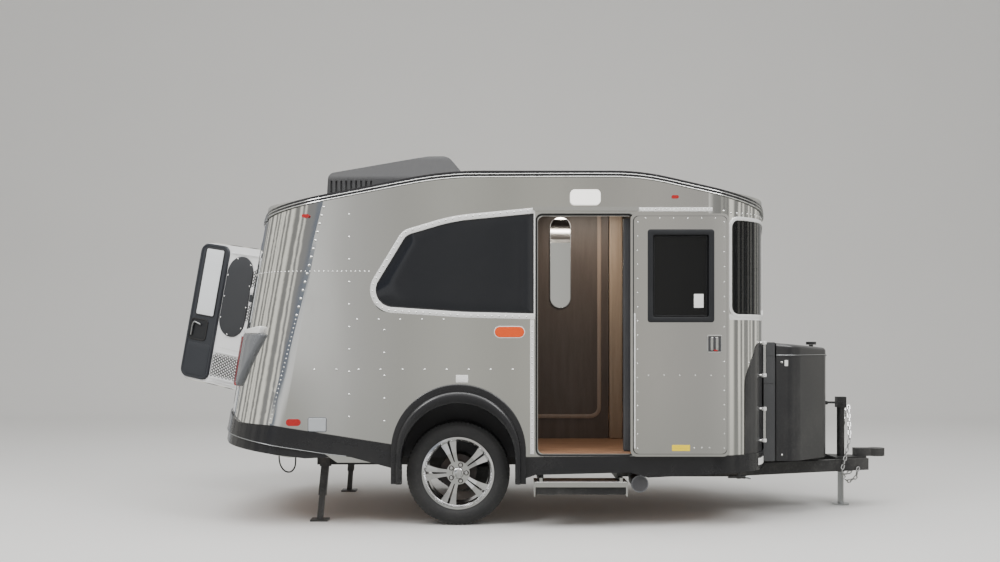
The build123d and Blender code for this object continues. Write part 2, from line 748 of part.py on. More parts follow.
def turned(radius, y):
    """Disc or drum about the wheel's axis between two y limits."""
    return Pos(0, (y[0] + y[1]) / 2, 0) * Rot(90, 0, 0) * Cylinder(radius, y[1] - y[0])


def tyre():
    """Tyre from its section: bead, bulged side wall, shoulder and tread, open inside."""
    outside = both_edges([(BEAD_R, 18), (FLANGE_R + 1, 18), (292, 0), (336, 12), (TYRE_R, 40)])
    hollow = both_edges([(BEAD_R, 36), (TYRE_R - 22, 26)])
    return revolved(outside + hollow[::-1])


def spoke():
    """Half of a split spoke: straight along its slot, flared along its outer edge."""
    slot_start, slot_end = SPOKE_SLOT
    root, middle, tip = SPOKE_EDGE
    mid_r = (HUB_FACE_R + SPOKE_END_R) / 2
    edges = [Line((HUB_BORE_R, slot_start), (RIM_R, slot_end)), Line((RIM_R, slot_end), (RIM_R, tip)),
             ThreePointArc((RIM_R, tip), (mid_r, middle), (HUB_BORE_R, root)),
             Line((HUB_BORE_R, root), (HUB_BORE_R, slot_start))]
    return across(make_face(edges), (SPOKE_Y[0] - 20, SPOKE_Y[1] + 20))


def rim():
    """Rim with five split spokes under a dished face; its outer face looks along -Y."""
    lip = [(BEAD_R, 18), (FLANGE_R, 18), (FLANGE_R, 10), (RIM_R - 12, 8), (RIM_R - 26, 24),
           (RIM_R - 34, 60)]
    barrel = [(radius, y - TYRE_HALF) for radius, y in lip]
    barrel += [(RIM_R - 34, TYRE_HALF - 10), (FLANGE_R, TYRE_HALF - 10), (FLANGE_R, TYRE_HALF - 18)]
    barrel += [(BEAD_R, TYRE_HALF - 18), (BEAD_R, TYRE_HALF - 40), (RIM_R - 27, TYRE_HALF - 60)]
    barrel += [(RIM_R - 27, -TYRE_HALF + 60), (BEAD_R, -TYRE_HALF + 40)]
    front, back = SPOKE_Y
    dish_front = [(HUB_BORE_R, front), (HUB_FACE_R, front), (DISH_R, front - DISH)]
    dish_front.append((SPOKE_END_R, front + 2))
    dish_back = [(SPOKE_END_R, back), (DISH_R, back - DISH), (HUB_FACE_R + 8, back), (HUB_BORE_R, back)]
    dish = revolved(dish_front + dish_back)
    half_pair = spoke()
    split_spoke = half_pair + mirror(half_pair, about=Plane.XY)
    spokes = [Rot(0, 36 + 72 * k, 0) * split_spoke for k in range(SPOKE_PAIRS)]
    shape = revolved(barrel) + turned(HUB_FACE_R, SPOKE_Y)
    for split in spokes:
        shape += split & dish
    return shape - turned(HUB_BORE_R, (-200, 200))


def hub():
    """Brake drum, hub flange and nose, turning on the spindle."""
    shape = turned(DRUM_R, (-24, 144))
    shape += turned(HUB_FACE_R, (SPOKE_Y[1], -24))
    shape += turned(HUB_BORE_R - 2, (-TYRE_HALF + 22, SPOKE_Y[1]))
    return shape - turned(SPINDLE_R + RUNNING_GAP, (-SPINDLE_REACH - 1, 200))


def wheel_place(shape):
    """A wheel piece at the kerb side."""
    return Pos(AXLE_X, -WHEEL_Y, TYRE_R) * shape


wheel_pieces = [("tyre", tyre()), ("rim", rim()), ("hub", hub())]
for name, shape in wheel_pieces:
    placed = wheel_place(shape)
    nodes[f"{name}_kerb"] = placed
    nodes[f"{name}_street"] = mirrored(placed)

# Rooftop air conditioner, seated on the crowned roof

air = across(rounded_polygon(AIR_PROFILE, AIR_RADII), (-AIR_HALF, AIR_HALF))
air_end = [(-y, z) for y, z in AIR_END] + AIR_END[::-1]
air_ends = along(rounded_polygon(air_end, AIR_END_RADII + AIR_END_RADII[::-1]), (-1500, -300))
air = (air & air_ends) - under_roof(0)
for k in range(VENT_COUNT):
    x = AIR_PROFILE[0][0] + 32 + VENT_PITCH * k
    slot = block((x, x + VENT_WIDTH), (-AIR_HALF - 5, -AIR_HALF + VENT_DEPTH), VENT_Z)
    air -= slot
    air -= mirrored(slot)
nodes["air_conditioner"] = air

# Tongue box: open tray on two beams, with a shallow lid hinged at its front edge


def box_plan(inset):
    """Plan of the tongue box, drawn in by an inset."""
    far_half = [(x, -y) for x, y in reversed(BOX_PLAN)]
    face = rounded_polygon(BOX_PLAN + far_half, BOX_RADII + BOX_RADII[::-1])
    return offset(face, -inset) if inset else face


def lid_profile(inset):
    """Side drawing of the space under the lid's sloping top."""
    rear_top, front_top = LID_TOP_Z[0] - inset, LID_TOP_Z[1] - inset
    return polygon([(BOX_X[0] - 5, BOX_Z[0]), (BOX_X[1] + 5, BOX_Z[0]), (BOX_X[1] + 5, front_top),
                    (BOX_X[0] - 5, rear_top)])


tray = upright(box_plan(0), BOX_Z) - upright(box_plan(BOX_WALL), (BOX_Z[0] + BOX_WALL, BOX_Z[1] + 10))
for x in (BOX_X[0] + BOX_BEAM, BOX_X[1] - 2 * BOX_BEAM):
    reach = TONGUE_REACH_Y - (x - TONGUE_BEND_X) * TONGUE_TAPER
    tray += block((x, x + BOX_BEAM), (-reach, reach), (TONGUE_Z[1], BOX_Z[0]))
nodes["box_tray"] = tray

lid_z = (BOX_Z[1] + LID_GAP, LID_TOP_Z[0] + 10)
lid = upright(box_plan(0), lid_z) & across(lid_profile(0), (-BOX_HALF, BOX_HALF))
lid_top = lid.faces().sort_by(Axis.Z)[-1]
lid = fillet([edge for edge in lid_top.edges() if edge.center().X > BOX_X[0] + 1], LID_ROUND)
lid_space = upright(box_plan(BOX_WALL), (BOX_Z[1] - 10, lid_z[1]))
lid -= lid_space & across(lid_profile(BOX_WALL), (-BOX_HALF, BOX_HALF))
lid += Pos(*KNOB_PLACE) * (Cylinder(*KNOB_STEM) + Pos(0, 0, 28) * Cylinder(*KNOB_HEAD))
lid_fixed, lid_moving = hinge(LID_PIN_OUT, fixed_foot=(12, 30), moving_foot=(11, 24))
for y in LID_HINGE_Y:
    origin = (BOX_X[1] + LID_PIN_OUT, y, BOX_Z[1])
    place = Plane(origin=origin, x_dir=(0, 0, -1), z_dir=(0, 1, 0)).location
    hinge_pins.append(place * lid_fixed)
    lid += place * lid_moving
nodes["box_lid"] = lid
nodes["hinge_pins"] = together(hinge_pins)

# Fairing cheeks between the curved front wall and the box, seated on the tray's rear face

cheek = block((FRONT_X - 250, BOX_X[0] - FAIRING_GAP), FAIRING_Y, (BOX_Z[0], LID_TOP_Z[0] + 4))
tongue_y = (FAIRING_Y[0] + 20, FAIRING_Y[1])
cheek += block((BOX_X[0] - FAIRING_GAP, BOX_X[0]), tongue_y, (BOX_Z[0], BOX_Z[1] - 20))
for z in FAIRING_SEAMS:
    cheek -= block((FRONT_X - 250, BOX_X[0]), (FAIRING_Y[0] - 5, FAIRING_Y[0] + 4), (z - 2, z + 2))
nodes["box_fairing"] = pair(cheek - body_prism(-BELT_PROUD))

# Stone guard on the lower front wall, and its four upright bars

guard_edge = [(GUARD_X, BOX_Z[0]), (2100, BOX_Z[0]), (2100, GUARD_TOP_Z), (GUARD_X + 110, GUARD_TOP_Z),
              (GUARD_X, 980)]
guard_side = rounded_polygon(guard_edge, [0, 0, 0, 40, 260])
guard = (body_prism(-GUARD_PROUD) - OUTER) & across(guard_side, (-BODY_REACH, BODY_REACH))
nodes["front_guard"] = guard - across(polygon(BELT_TOP + BELT_BOTTOM), (-BODY_REACH, BODY_REACH))
bar_x = front_surface_x(GUARD_BAR_Y) + GUARD_BAR_OUT
bars = []
for low, high in GUARD_BAR_Z:
    bar = rod((bar_x, -GUARD_BAR_Y, low), (bar_x, -GUARD_BAR_Y, high), GUARD_BAR_R)
    for z in (low + GUARD_BAR_R, high - GUARD_BAR_R):
        bar += rod((bar_x - 2 * GUARD_BAR_OUT, -GUARD_BAR_Y, z), (bar_x, -GUARD_BAR_Y, z), GUARD_POST_R)
    bars.append(bar - body_prism(-GUARD_PROUD))
nodes["guard_bars"] = pair(together(bars))

# Two gas bottles with their collars, standing in the tray

bottle_z = BOX_Z[0] + BOX_WALL
bottles = []
for side in (-1, 1):
    place = Pos(BOTTLE_PLACE[0], side * BOTTLE_PLACE[1], bottle_z)
    bottle = Pos(0, 0, BOTTLE_BODY / 2) * Cylinder(BOTTLE_R, BOTTLE_BODY)
    bottle = fillet(bottle.edges().filter_by(GeomType.CIRCLE).group_by(Axis.Z)[-1], BOTTLE_SHOULDER)
    bottle += Pos(0, 0, BOTTLE_BODY + COLLAR[1] / 2 - 5) * Cylinder(*COLLAR)
    bottles.append(place * bottle)
nodes["gas_bottles"] = together(bottles)

# Sliding entry step on two guides

guides = []
step = block(STEP_X, (STEP_FRONT_Y, STEP_FRONT_Y + STEP_DEPTH), (STEP_TOP - STEP_PLATE, STEP_TOP))
step += block(STEP_X, (STEP_FRONT_Y, STEP_FRONT_Y + 8), (STEP_TOP - 1.5 * STEP_PLATE, STEP_TOP))
for x in (STEP_X[0], STEP_X[1] - 6):
    step += along(polygon(STEP_GUSSET), (x, x + 6))
for x in ARM_X:
    arm_x = (x, x + ARM_WIDTH)
    step += block(arm_x, (STEP_FRONT_Y + 4, ARM_REACH_Y), ARM_Z)
    step += block(arm_x, (STEP_FRONT_Y + 4, GUIDE_Y[0] - 12), (STEP_TOP, ARM_Z[1]))
    guide_x = (x - 10, x + ARM_WIDTH + 10)
    guide = block(guide_x, GUIDE_Y, (ARM_Z[0] - 4, TONGUE_Z[1]))
    guide -= block((x - 2, x + ARM_WIDTH + 2), (GUIDE_Y[0] - 10, GUIDE_Y[1] + 10), (300, ARM_Z[1] + 2))
    guide += block(guide_x, (GUIDE_Y[0] + 15, GUIDE_Y[0] + 55), (ARM_Z[1] + 2, FLOOR_BOTTOM))
    guides.append(guide)
nodes["step_guides"] = together(guides)
nodes["entry_step"] = step

# Waste pipe with its end cap

cap_y, mouth_y, elbow_y = PIPE_Y
pipe = rod((PIPE_X, mouth_y, PIPE_Z), (PIPE_X, elbow_y, PIPE_Z), PIPE_R)
pipe += rod((PIPE_X, cap_y, PIPE_Z), (PIPE_X, mouth_y, PIPE_Z), CAP_R)
pipe += rod((PIPE_X, elbow_y, PIPE_Z), (PIPE_X, elbow_y, FLOOR_BOTTOM), PIPE_R)
pipe += Pos(PIPE_X, elbow_y, PIPE_Z) * Sphere(PIPE_R)
nodes["waste_pipe"] = pipe

# Tongue jack: outer tube with a crank, sliding inner tube with its foot

jack = rod((JACK_X, 0, 250), (JACK_X, 0, JACK_TOP), JACK_R)
jack += block((JACK_X - 34, JACK_X + 34), (-34, 34), (JACK_TOP - 70, JACK_TOP + 10))
jack -= rod((JACK_X, 0, 240), (JACK_X, 0, JACK_TOP - 25), JACK_INNER_R + RUNNING_GAP)
nodes["coupler"] -= rod((JACK_X, 0, 240), (JACK_X, 0, JACK_TOP), JACK_R)
crank_z = JACK_TOP - 30
head_y, arm_y, grip_y = CRANK_Y
jack += rod((JACK_X, head_y, crank_z), (JACK_X, arm_y - 12, crank_z), 10)
jack += block((JACK_X - CRANK_ARM - 10, JACK_X + 8), (arm_y - 8, arm_y + 2), (crank_z - 8, crank_z + 8))
jack += rod((JACK_X - CRANK_ARM, arm_y, crank_z), (JACK_X - CRANK_ARM, grip_y, crank_z), 7)
jack += block((JACK_X + 30, JACK_X + 52), (-6, 6), CHAIN_HOOK_Z)
hook_x, hook_z = JACK_X + 48.5, sum(CHAIN_HOOK_Z) / 2
jack += rod((hook_x, -44, hook_z), (hook_x, 44, hook_z), 2.5)
nodes["jack_tube"] = jack
foot = rod((JACK_X, 0, 10), (JACK_X, 0, 500), JACK_INNER_R)
foot += rod((JACK_X, 0, 0), (JACK_X, 0, 12), JACK_FOOT_R)
nodes["jack_leg"] = foot

# Rear stabiliser legs: outer tube, inner tube and a level foot, on a bolt between two ears


def leg_frame(lean):
    """Local frame at the leg's bolt, splayed outwards and leaning to the rear."""
    x, y, z = LEG_TOP
    return Pos(x, -y, z) * Rot(-LEG_SPLAY, lean, 0)


def square_tube(size, z):
    """Square bar about the local z axis."""
    return block((-size / 2, size / 2), (-size / 2, size / 2), z)


leg = square_tube(LEG_TUBE, (-230, 28)) + square_tube(LEG_INNER, (-396, -230))
leg -= Rot(90, 0, 0) * Cylinder(LEG_BOLT_R + RUNNING_GAP, 200)
leg = leg_frame(LEG_LEAN) * leg
leg -= block((-1700, -1000), (-1200, -400), (-100, 6))
sole = leg_frame(LEG_LEAN) * Pos(0, 0, -LEG_TOP[2])
sole_x, sole_y = sole.position.X, sole.position.Y
leg += block((sole_x - 60, sole_x + 60), (sole_y - 55, sole_y + 55), (0, 12))
ears = Rot(90, 0, 0) * Cylinder(LEG_BOLT_R, LEG_TUBE + 2 * EAR + 2 * EAR_GAP)
for side in (-1, 1):
    inner_face = LEG_TUBE / 2 + EAR_GAP
    limits = sorted((side * inner_face, side * (inner_face + EAR)))
    ears += block((-35, 35), limits, (-30, 120))
ears = leg_frame(0) * ears - above_belly()
nodes["leg_mounts"] = pair(ears)
nodes["leg_kerb"] = leg
nodes["leg_street"] = mirrored(leg)

# Cabin furniture: bath module, galley, benches with cushions

ceiling = under_roof(-WALL) & INNER
bath = block(BATH_X, BATH_Y, (FLOOR_TOP, 2600))
bath -= block((BATH_X[0] + PANEL, BATH_X[1] - PANEL), (BATH_Y[0] + PANEL, 1200), (FLOOR_TOP - 10, 2700))
nodes["bath_module"] = bath & ceiling
nodes["bath_mirror"] = across(rectangle(*MIRROR, 77), (BATH_Y[0] - 6, BATH_Y[0]))
galley = block(GALLEY_X, (-990, 990), (FLOOR_TOP, GALLEY_TOP))
galley -= block((GALLEY_X[0] + PANEL, 1900), (-1200, 1200), (FLOOR_TOP - 10, GALLEY_TOP - 25))
nodes["galley"] = galley & INNER
bench = block(BENCH_X, (-988, BENCH_FRONT_Y), (FLOOR_TOP, BENCH_TOP))
bench -= block((-1800, BENCH_X[1] - 18), (-1100, BENCH_FRONT_Y - 18), (FLOOR_TOP - 10, BENCH_TOP - 18))
below_floor = across(polygon([(-2600, 100), (2100, 100)] + floor_top), (-BODY_REACH, BODY_REACH))
nodes["benches"] = pair((bench & INNER) - below_floor)
cushions = []
for low, high in SEAT_X:
    seat_z = (BENCH_TOP, BENCH_TOP + CUSHION_THICK)
    cushions.append(block((low, high), (-980, BENCH_FRONT_Y + 10), seat_z) & INNER)
for low, high in BACK_X:
    back_z = (seat_z[1] + 1, BACK_TOP)
    cushions.append(block((low, high), (-985, -985 + CUSHION_THICK), back_z) & INNER)
nodes["cushions"] = pair(together(cushions))

# Lamps and covers

lamp_skin = body_prism(-LAMP_PROUD) - OUTER
lamp_body = HATCH_FRAME * along(polygon(LAMP_FACE), (-400, 600))
lamp_lens = HATCH_FRAME * along(polygon(LENS_FACE), (-400, 600))
nodes["tail_lamp_bodies"] = pair(lamp_skin & lamp_body)
marker_y = (-HALF_WIDTH - 12, -HALF_WIDTH)
markers = [across(rectangle((-1539, -1443), (674, 720), 22), marker_y)]
for x, z in SIDE_MARKERS:
    markers.append(across(rectangle((x - 24, x + 24), (z - 11, z + 11), 10), marker_y))
nodes["lamp_lenses"] = pair(together([lamp_skin & lamp_lens, *markers]))

# Safety chains looped over the jack head

def link():
    """One chain link with flat sides, long along z."""
    return along(polygon(LINK_OUTER) - polygon(LINK_INNER), (-LINK_WIRE / 2, LINK_WIRE / 2))


links = []
for route in CHAIN_ROUTES:
    path = FilletPolyline(*route, radius=CHAIN_RADII)
    count = int(path.length / LINK_PITCH)
    for k in range(count):
        at = (k + 0.5) / count
        heading = path % at
        plane = Plane(origin=path @ at, x_dir=(0, 1, 0), z_dir=heading)
        links.append(plane.location * Rot(0, 0, 90 * (k % 2)) * link())
nodes["safety_chains"] = together(links)

# Tether cord hanging in a loop under the rear corner

runs = [(Vector(*b) - Vector(*a)) for a, b in zip(TETHER_ROUTE, TETHER_ROUTE[1:])]
tether_radii = []
for before, after in zip(runs, runs[1:]):
    turn = before.get_angle(after)
    tether_radii.append(0.45 * min(before.length, after.length) / tan(radians(turn / 2)))
tether_path = FilletPolyline(*TETHER_ROUTE, radius=tether_radii)
print("tether radii", [round(radius) for radius in tether_radii], "length", round(tether_path.length))
tether_plane = Plane(origin=tether_path @ 0, z_dir=tether_path % 0)
nodes["tether_cord"] = sweep(tether_plane * Circle(TETHER_R), path=tether_path)
clips = []
for x, y, z in (TETHER_ROUTE[0], TETHER_ROUTE[-1]):
    clips.append(rod((x, y, z), (x, y, z + 60), TETHER_CLIP_R) - above_belly())
nodes["tether_clips"] = together(clips)

for name, shape in nodes.items():
    export_step(shape, f"parts/{name}.step")
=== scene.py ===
"""Dressed model of a small riveted aluminium travel caravan, round its packed construction.

Metres, in the construction's own frame: +X forward, +Y the street side, -Y the kerb side with the
entry door, +Z up, and the ground at zero.
"""
import json
import logging
import math
from dataclasses import dataclass, field
from enum import Enum
from typing import Protocol, Sequence

import bmesh
import bpy
import numpy as np
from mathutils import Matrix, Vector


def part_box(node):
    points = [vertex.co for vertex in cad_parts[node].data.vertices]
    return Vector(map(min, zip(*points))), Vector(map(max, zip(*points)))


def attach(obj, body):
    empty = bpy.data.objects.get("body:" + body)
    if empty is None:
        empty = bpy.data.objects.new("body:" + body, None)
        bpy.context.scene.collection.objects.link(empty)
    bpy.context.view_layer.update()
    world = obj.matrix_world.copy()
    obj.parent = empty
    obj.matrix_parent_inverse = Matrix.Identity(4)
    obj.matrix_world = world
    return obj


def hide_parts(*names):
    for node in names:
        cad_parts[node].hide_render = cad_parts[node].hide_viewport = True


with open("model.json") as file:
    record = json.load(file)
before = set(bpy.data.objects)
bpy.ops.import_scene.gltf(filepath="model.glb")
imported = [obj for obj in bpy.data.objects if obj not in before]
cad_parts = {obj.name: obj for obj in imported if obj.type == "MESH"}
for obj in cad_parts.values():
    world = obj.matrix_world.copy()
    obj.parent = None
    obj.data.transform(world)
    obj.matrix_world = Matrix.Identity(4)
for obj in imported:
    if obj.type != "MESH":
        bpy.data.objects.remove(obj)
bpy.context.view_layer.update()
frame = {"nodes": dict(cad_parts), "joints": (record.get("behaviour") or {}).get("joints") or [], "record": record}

JOINTS = {joint["name"]: joint for joint in frame["joints"]}
LOG = logging.getLogger("caravan")
Colour = tuple[float, float, float]
Point = tuple[float, float, float]
Pair = tuple[float, float]
TURN = 2 * math.pi
MM = 0.001


# Shader arithmetic


class Value:
    """A number that varies over a surface: a node socket with arithmetic."""

    def __init__(self, shader: "Graph", socket: bpy.types.NodeSocket) -> None:
        """Keeps the socket and the graph that owns it."""
        self.shader = shader
        self.socket = socket

    def math(self, operation: str, *others: "Value | float", flip: bool = False) -> "Value":
        """Adds a Math node.

        Args:
            operation: the node's operation.
            others: the other operands.
            flip: whether this value comes last.

        Returns:
            The result.
        """
        operands = [self, *others]
        if flip:
            operands.reverse()
        return self.shader.value("ShaderNodeMath", {"operation": operation}, dict(enumerate(operands)))

    def __add__(self, other: "Value | float") -> "Value":
        """Sum."""
        return self.math("ADD", other)

    def __sub__(self, other: "Value | float") -> "Value":
        """Difference."""
        return self.math("SUBTRACT", other)

    def __rsub__(self, other: float) -> "Value":
        """Difference from a plain number."""
        return self.math("SUBTRACT", other, flip=True)

    def __mul__(self, other: "Value | float") -> "Value":
        """Product."""
        return self.math("MULTIPLY", other)

    __radd__ = __add__
    __rmul__ = __mul__

    def over(self, low: float, high: float) -> "Value":
        """Rises from 0 to 1 as the value goes from low to high."""
        settings = {"interpolation_type": "SMOOTHSTEP"}
        return self.shader.value("ShaderNodeMapRange", settings, {0: self, 1: low, 2: high})


class Graph:
    """Node tree, with one method that makes any node."""

    def __init__(self, owner: "bpy.types.Material | bpy.types.World") -> None:
        """Empties the owner's node tree."""
        owner.use_nodes = True
        self.tree = owner.node_tree
        self.tree.nodes.clear()

    def link(self, source: bpy.types.NodeSocket, target: bpy.types.NodeSocket) -> None:
        """Joins two sockets."""
        self.tree.links.new(source, target)

    def node(self, kind: str, settings: dict | None = None, inputs: dict | None = None) -> bpy.types.Node:
        """Makes a node.

        Args:
            kind: the node's type.
            settings: its own settings; stops fills a colour ramp.
            inputs: value, colour or link for each input, by name or number.

        Returns:
            The node.
        """
        made = self.tree.nodes.new(kind)
        for key, setting in (settings or {}).items():
            if key == "stops":
                self.fill_ramp(made.color_ramp, setting)
            else:
                setattr(made, key, setting)
        for key, given in (inputs or {}).items():
            if isinstance(given, Value):
                self.link(given.socket, made.inputs[key])
            elif isinstance(given, bpy.types.NodeSocket):
                self.link(given, made.inputs[key])
            else:
                made.inputs[key].default_value = given
        return made

    @staticmethod
    def fill_ramp(ramp: bpy.types.ColorRamp, stops: Sequence[tuple[float, Colour]]) -> None:
        """Sets a colour ramp's stops."""
        while len(ramp.elements) < len(stops):
            ramp.elements.new(1)
        for element, (position, colour) in zip(ramp.elements, stops):
            element.position = position
            element.color = (*colour, 1)

    def value(self, kind: str, settings: dict | None = None, inputs: dict | None = None,
              output: int | str = 0) -> Value:
        """Makes a node and takes one of its outputs."""
        return Value(self, self.node(kind, settings, inputs).outputs[output])

    def noise(self, scale: float, stretch: Point = (1, 1, 1), detail: float = 3,
              rough: float = 0.5) -> Value:
        """Cloudy noise from 0 to 1, over object coordinates that are scaled along each axis."""
        source = self.value("ShaderNodeTexCoord", output="Object")
        place = self.value("ShaderNodeMapping", {}, {0: source, "Scale": stretch})
        inputs = {"Vector": place, "Scale": scale, "Detail": detail, "Roughness": rough}
        return self.value("ShaderNodeTexNoise", {}, inputs)

    def axis(self, name: str) -> Value:
        """One object coordinate, X, Y or Z, in metres."""
        source = self.value("ShaderNodeTexCoord", output="Object")
        return self.value("ShaderNodeSeparateXYZ", {}, {0: source}, name)

    def mix(self, factor: Value, low: "Colour | Value", high: "Colour | Value") -> Value:
        """Colour between two colours."""
        def full(colour: "Colour | Value") -> "tuple | Value":
            return colour if isinstance(colour, Value) else (*colour, 1)
        inputs = {0: factor, 6: full(low), 7: full(high)}
        return self.value("ShaderNodeMix", {"data_type": "RGBA"}, inputs, 2)

    def relief(self, height: Value) -> Value:
        """Normal of a surface whose relief is given in metres."""
        return self.value("ShaderNodeBump", {}, {"Height": height, "Distance": 1.0, "Strength": 1.0})


class Shader(Graph):
    """Node tree of one material, with its surface shader."""

    def __init__(self, name: str) -> None:
        """Starts an empty material with its surface shader and output."""
        self.material = bpy.data.materials.new(name)
        super().__init__(self.material)
        self.output = self.node("ShaderNodeOutputMaterial")
        self.surface = self.node("ShaderNodeBsdfPrincipled")
        self.link(self.surface.outputs[0], self.output.inputs[0])

    def finish(self, **sockets: "Value | float | Colour") -> bpy.types.Material:
        """Sets the surface shader's sockets, named with underscores, and gives the material."""
        for key, given in sockets.items():
            target = self.surface.inputs[key.replace("_", " ")]
            if isinstance(given, Value):
                self.link(given.socket, target)
            elif isinstance(given, tuple):
                target.default_value = (*given, 1)
            else:
                target.default_value = given
        return self.material


class Grain(Enum):
    """Way in which a sheet was rolled or a board was cut."""

    UPRIGHT = (420.0, 420.0, 5.0)
    LEVEL = (5.0, 5.0, 420.0)
    ALONG_X = (5.0, 260.0, 260.0)


@dataclass(frozen=True)
class SheetMetal:
    """Rolled metal sheet with fine grain, slow waves and cloudy polish."""

    name: str
    colour: Colour = (0.86, 0.855, 0.83)
    dull: Colour = (0.79, 0.785, 0.76)
    roughness: Pair = (0.05, 0.13)
    grain: Grain = Grain.UPRIGHT
    wave: float = 1.6 * MM
    metallic: float = 1.0

    def make(self) -> bpy.types.Material:
        """Builds the material."""
        shader = Shader(self.name)
        cloud = shader.noise(1.1, (1, 1, 0.3), 2, 0.5)
        streak = shader.noise(1.0, self.grain.value, 2)
        smudge = shader.noise(7, (1, 1, 0.6), 4, 0.6).over(0.5, 0.85)
        low, high = self.roughness
        rough = (cloud * 0.35 + streak * 0.35 + smudge * 0.3) * (high - low) + low
        waves = shader.noise(1.9, (1, 1, 0.7), 1, 0.4)
        return shader.finish(
            Base_Color=shader.mix(cloud * 0.6 + smudge * 0.4, self.colour, self.dull),
            Metallic=self.metallic, Roughness=rough,
            Normal=shader.relief(waves * self.wave + streak * (0.01 * MM)))


@dataclass(frozen=True)
class Moulded:
    """Plastic, paint or rubber with a moulded texture, dust and rubbed patches."""

    name: str
    colour: Colour
    roughness: float = 0.4
    pebble: float = 0.03 * MM
    pebble_scale: float = 900
    dust: float = 0.2
    dust_colour: Colour = (0.30, 0.29, 0.27)
    coat: float = 0.0
    metallic: float = 0.0

    def make(self) -> bpy.types.Material:
        """Builds the material."""
        shader = Shader(self.name)
        patch = shader.noise(3.1, (1, 1, 1), 5, 0.62).over(0.42, 0.8)
        speck = shader.noise(60, (1, 1, 1), 2).over(0.45, 0.9)
        low = shader.axis("Z").over(1.1, 0.15)
        film = (patch * 0.6 + speck * 0.4) * (low * 0.7 + 0.3) * self.dust
        pebbles = shader.noise(self.pebble_scale, (1, 1, 1), 1)
        return shader.finish(
            Base_Color=shader.mix(film, self.colour, self.dust_colour),
            Metallic=self.metallic, Roughness=film * 0.45 + patch * 0.08 + self.roughness,
            Coat_Weight=self.coat, Coat_Roughness=0.08,
            Normal=shader.relief(pebbles * self.pebble))


@dataclass(frozen=True)
class Board:
    """Wood or wood-print board with long grain."""

    name: str
    dark: Colour
    light: Colour
    stretch: Point = (14.0, 14.0, 0.9)
    roughness: float = 0.45

    def make(self) -> bpy.types.Material:
        """Builds the material."""
        shader = Shader(self.name)
        bend = shader.noise(1.3, (1, 1, 0.3), 2) * 0.5
        rings = shader.noise(2.2, self.stretch, 6, 0.62)
        fine = shader.noise(30, self.stretch, 2)
        grain = (rings * 0.75 + fine * 0.25 + bend * 0.15).over(0.28, 0.74)
        return shader.finish(
            Base_Color=shader.mix(grain, self.dark, self.light),
            Roughness=grain * -0.12 + (self.roughness + 0.08), Coat_Weight=0.15, Coat_Roughness=0.3,
            Normal=shader.relief(grain * (0.12 * MM)))


@dataclass(frozen=True)
class Cloth:
    """Woven upholstery with a twill and a soft nap."""

    name: str
    colour: Colour
    thread: Colour
    pitch: float = 2.4 * MM

    def make(self) -> bpy.types.Material:
        """Builds the material; warp and weft are crossed sine ridges."""
        shader = Shader(self.name)
        step = TURN / self.pitch
        across, along, up = (shader.axis(name) for name in "XYZ")
        warp = ((across + up * 0.5) * step).math("SINE") * 0.5 + 0.5
        weft = ((along + up) * step).math("SINE") * 0.5 + 0.5
        weave = warp * 0.5 + weft * 0.5
        cloud = shader.noise(6, (1, 1, 1), 4, 0.6)
        fuzz = shader.noise(500, (1, 1, 1), 2)
        return shader.finish(
            Base_Color=shader.mix(weave * 0.6 + cloud * 0.25 + fuzz * 0.15, self.colour, self.thread),
            Roughness=0.92, Sheen_Weight=0.25, Sheen_Roughness=0.5,
            Normal=shader.relief(weave * (0.25 * MM) + fuzz * (0.1 * MM)))


@dataclass(frozen=True)
class Glass:
    """Tinted sheet glass with faint smears."""

    name: str
    tint: Colour = (0.055, 0.06, 0.065)
    clear: float = 0.95

    def make(self) -> bpy.types.Material:
        """Builds the material."""
        shader = Shader(self.name)
        smear = shader.noise(5, (1, 1, 0.3), 4).over(0.5, 0.8)
        return shader.finish(Base_Color=self.tint, Roughness=smear * 0.06 + 0.02, IOR=1.5,
                             Transmission_Weight=self.clear)


@dataclass(frozen=True)
class Lens:
    """Moulded lamp lens with small prisms inside; its glow is emitted light, and on the hatch's white panel, which
    is no lamp, that glow is painted light.
    """

    name: str
    colour: Colour
    glow: float = 0.0

    def make(self) -> bpy.types.Material:
        """Builds the material; prisms are ridges a few millimetres apart."""
        shader = Shader(self.name)
        step = TURN / (5 * MM)
        ridge = (shader.axis("Z") * step).math("SINE") * 0.5 + 0.5
        rib = ((shader.axis("Y") + shader.axis("X")) * step).math("SINE") * 0.5 + 0.5
        prism = ridge * 0.5 + rib * 0.5
        deep = tuple(channel * 0.45 for channel in self.colour)
        return shader.finish(
            Base_Color=shader.mix(prism, deep, self.colour), Roughness=0.12, Coat_Weight=0.6,
            Emission_Color=self.colour, Emission_Strength=self.glow,
            Normal=shader.relief(prism * (0.25 * MM)))


@dataclass(frozen=True)
class Mirror:
    """Silvered glass with a faint haze."""

    name: str

    def make(self) -> bpy.types.Material:
        """Builds the material."""
        shader = Shader(self.name)
        haze = shader.noise(8, (1, 1, 1), 3).over(0.55, 0.85)
        return shader.finish(Base_Color=(0.86, 0.87, 0.87), Metallic=1.0, Roughness=haze * 0.08 + 0.03)


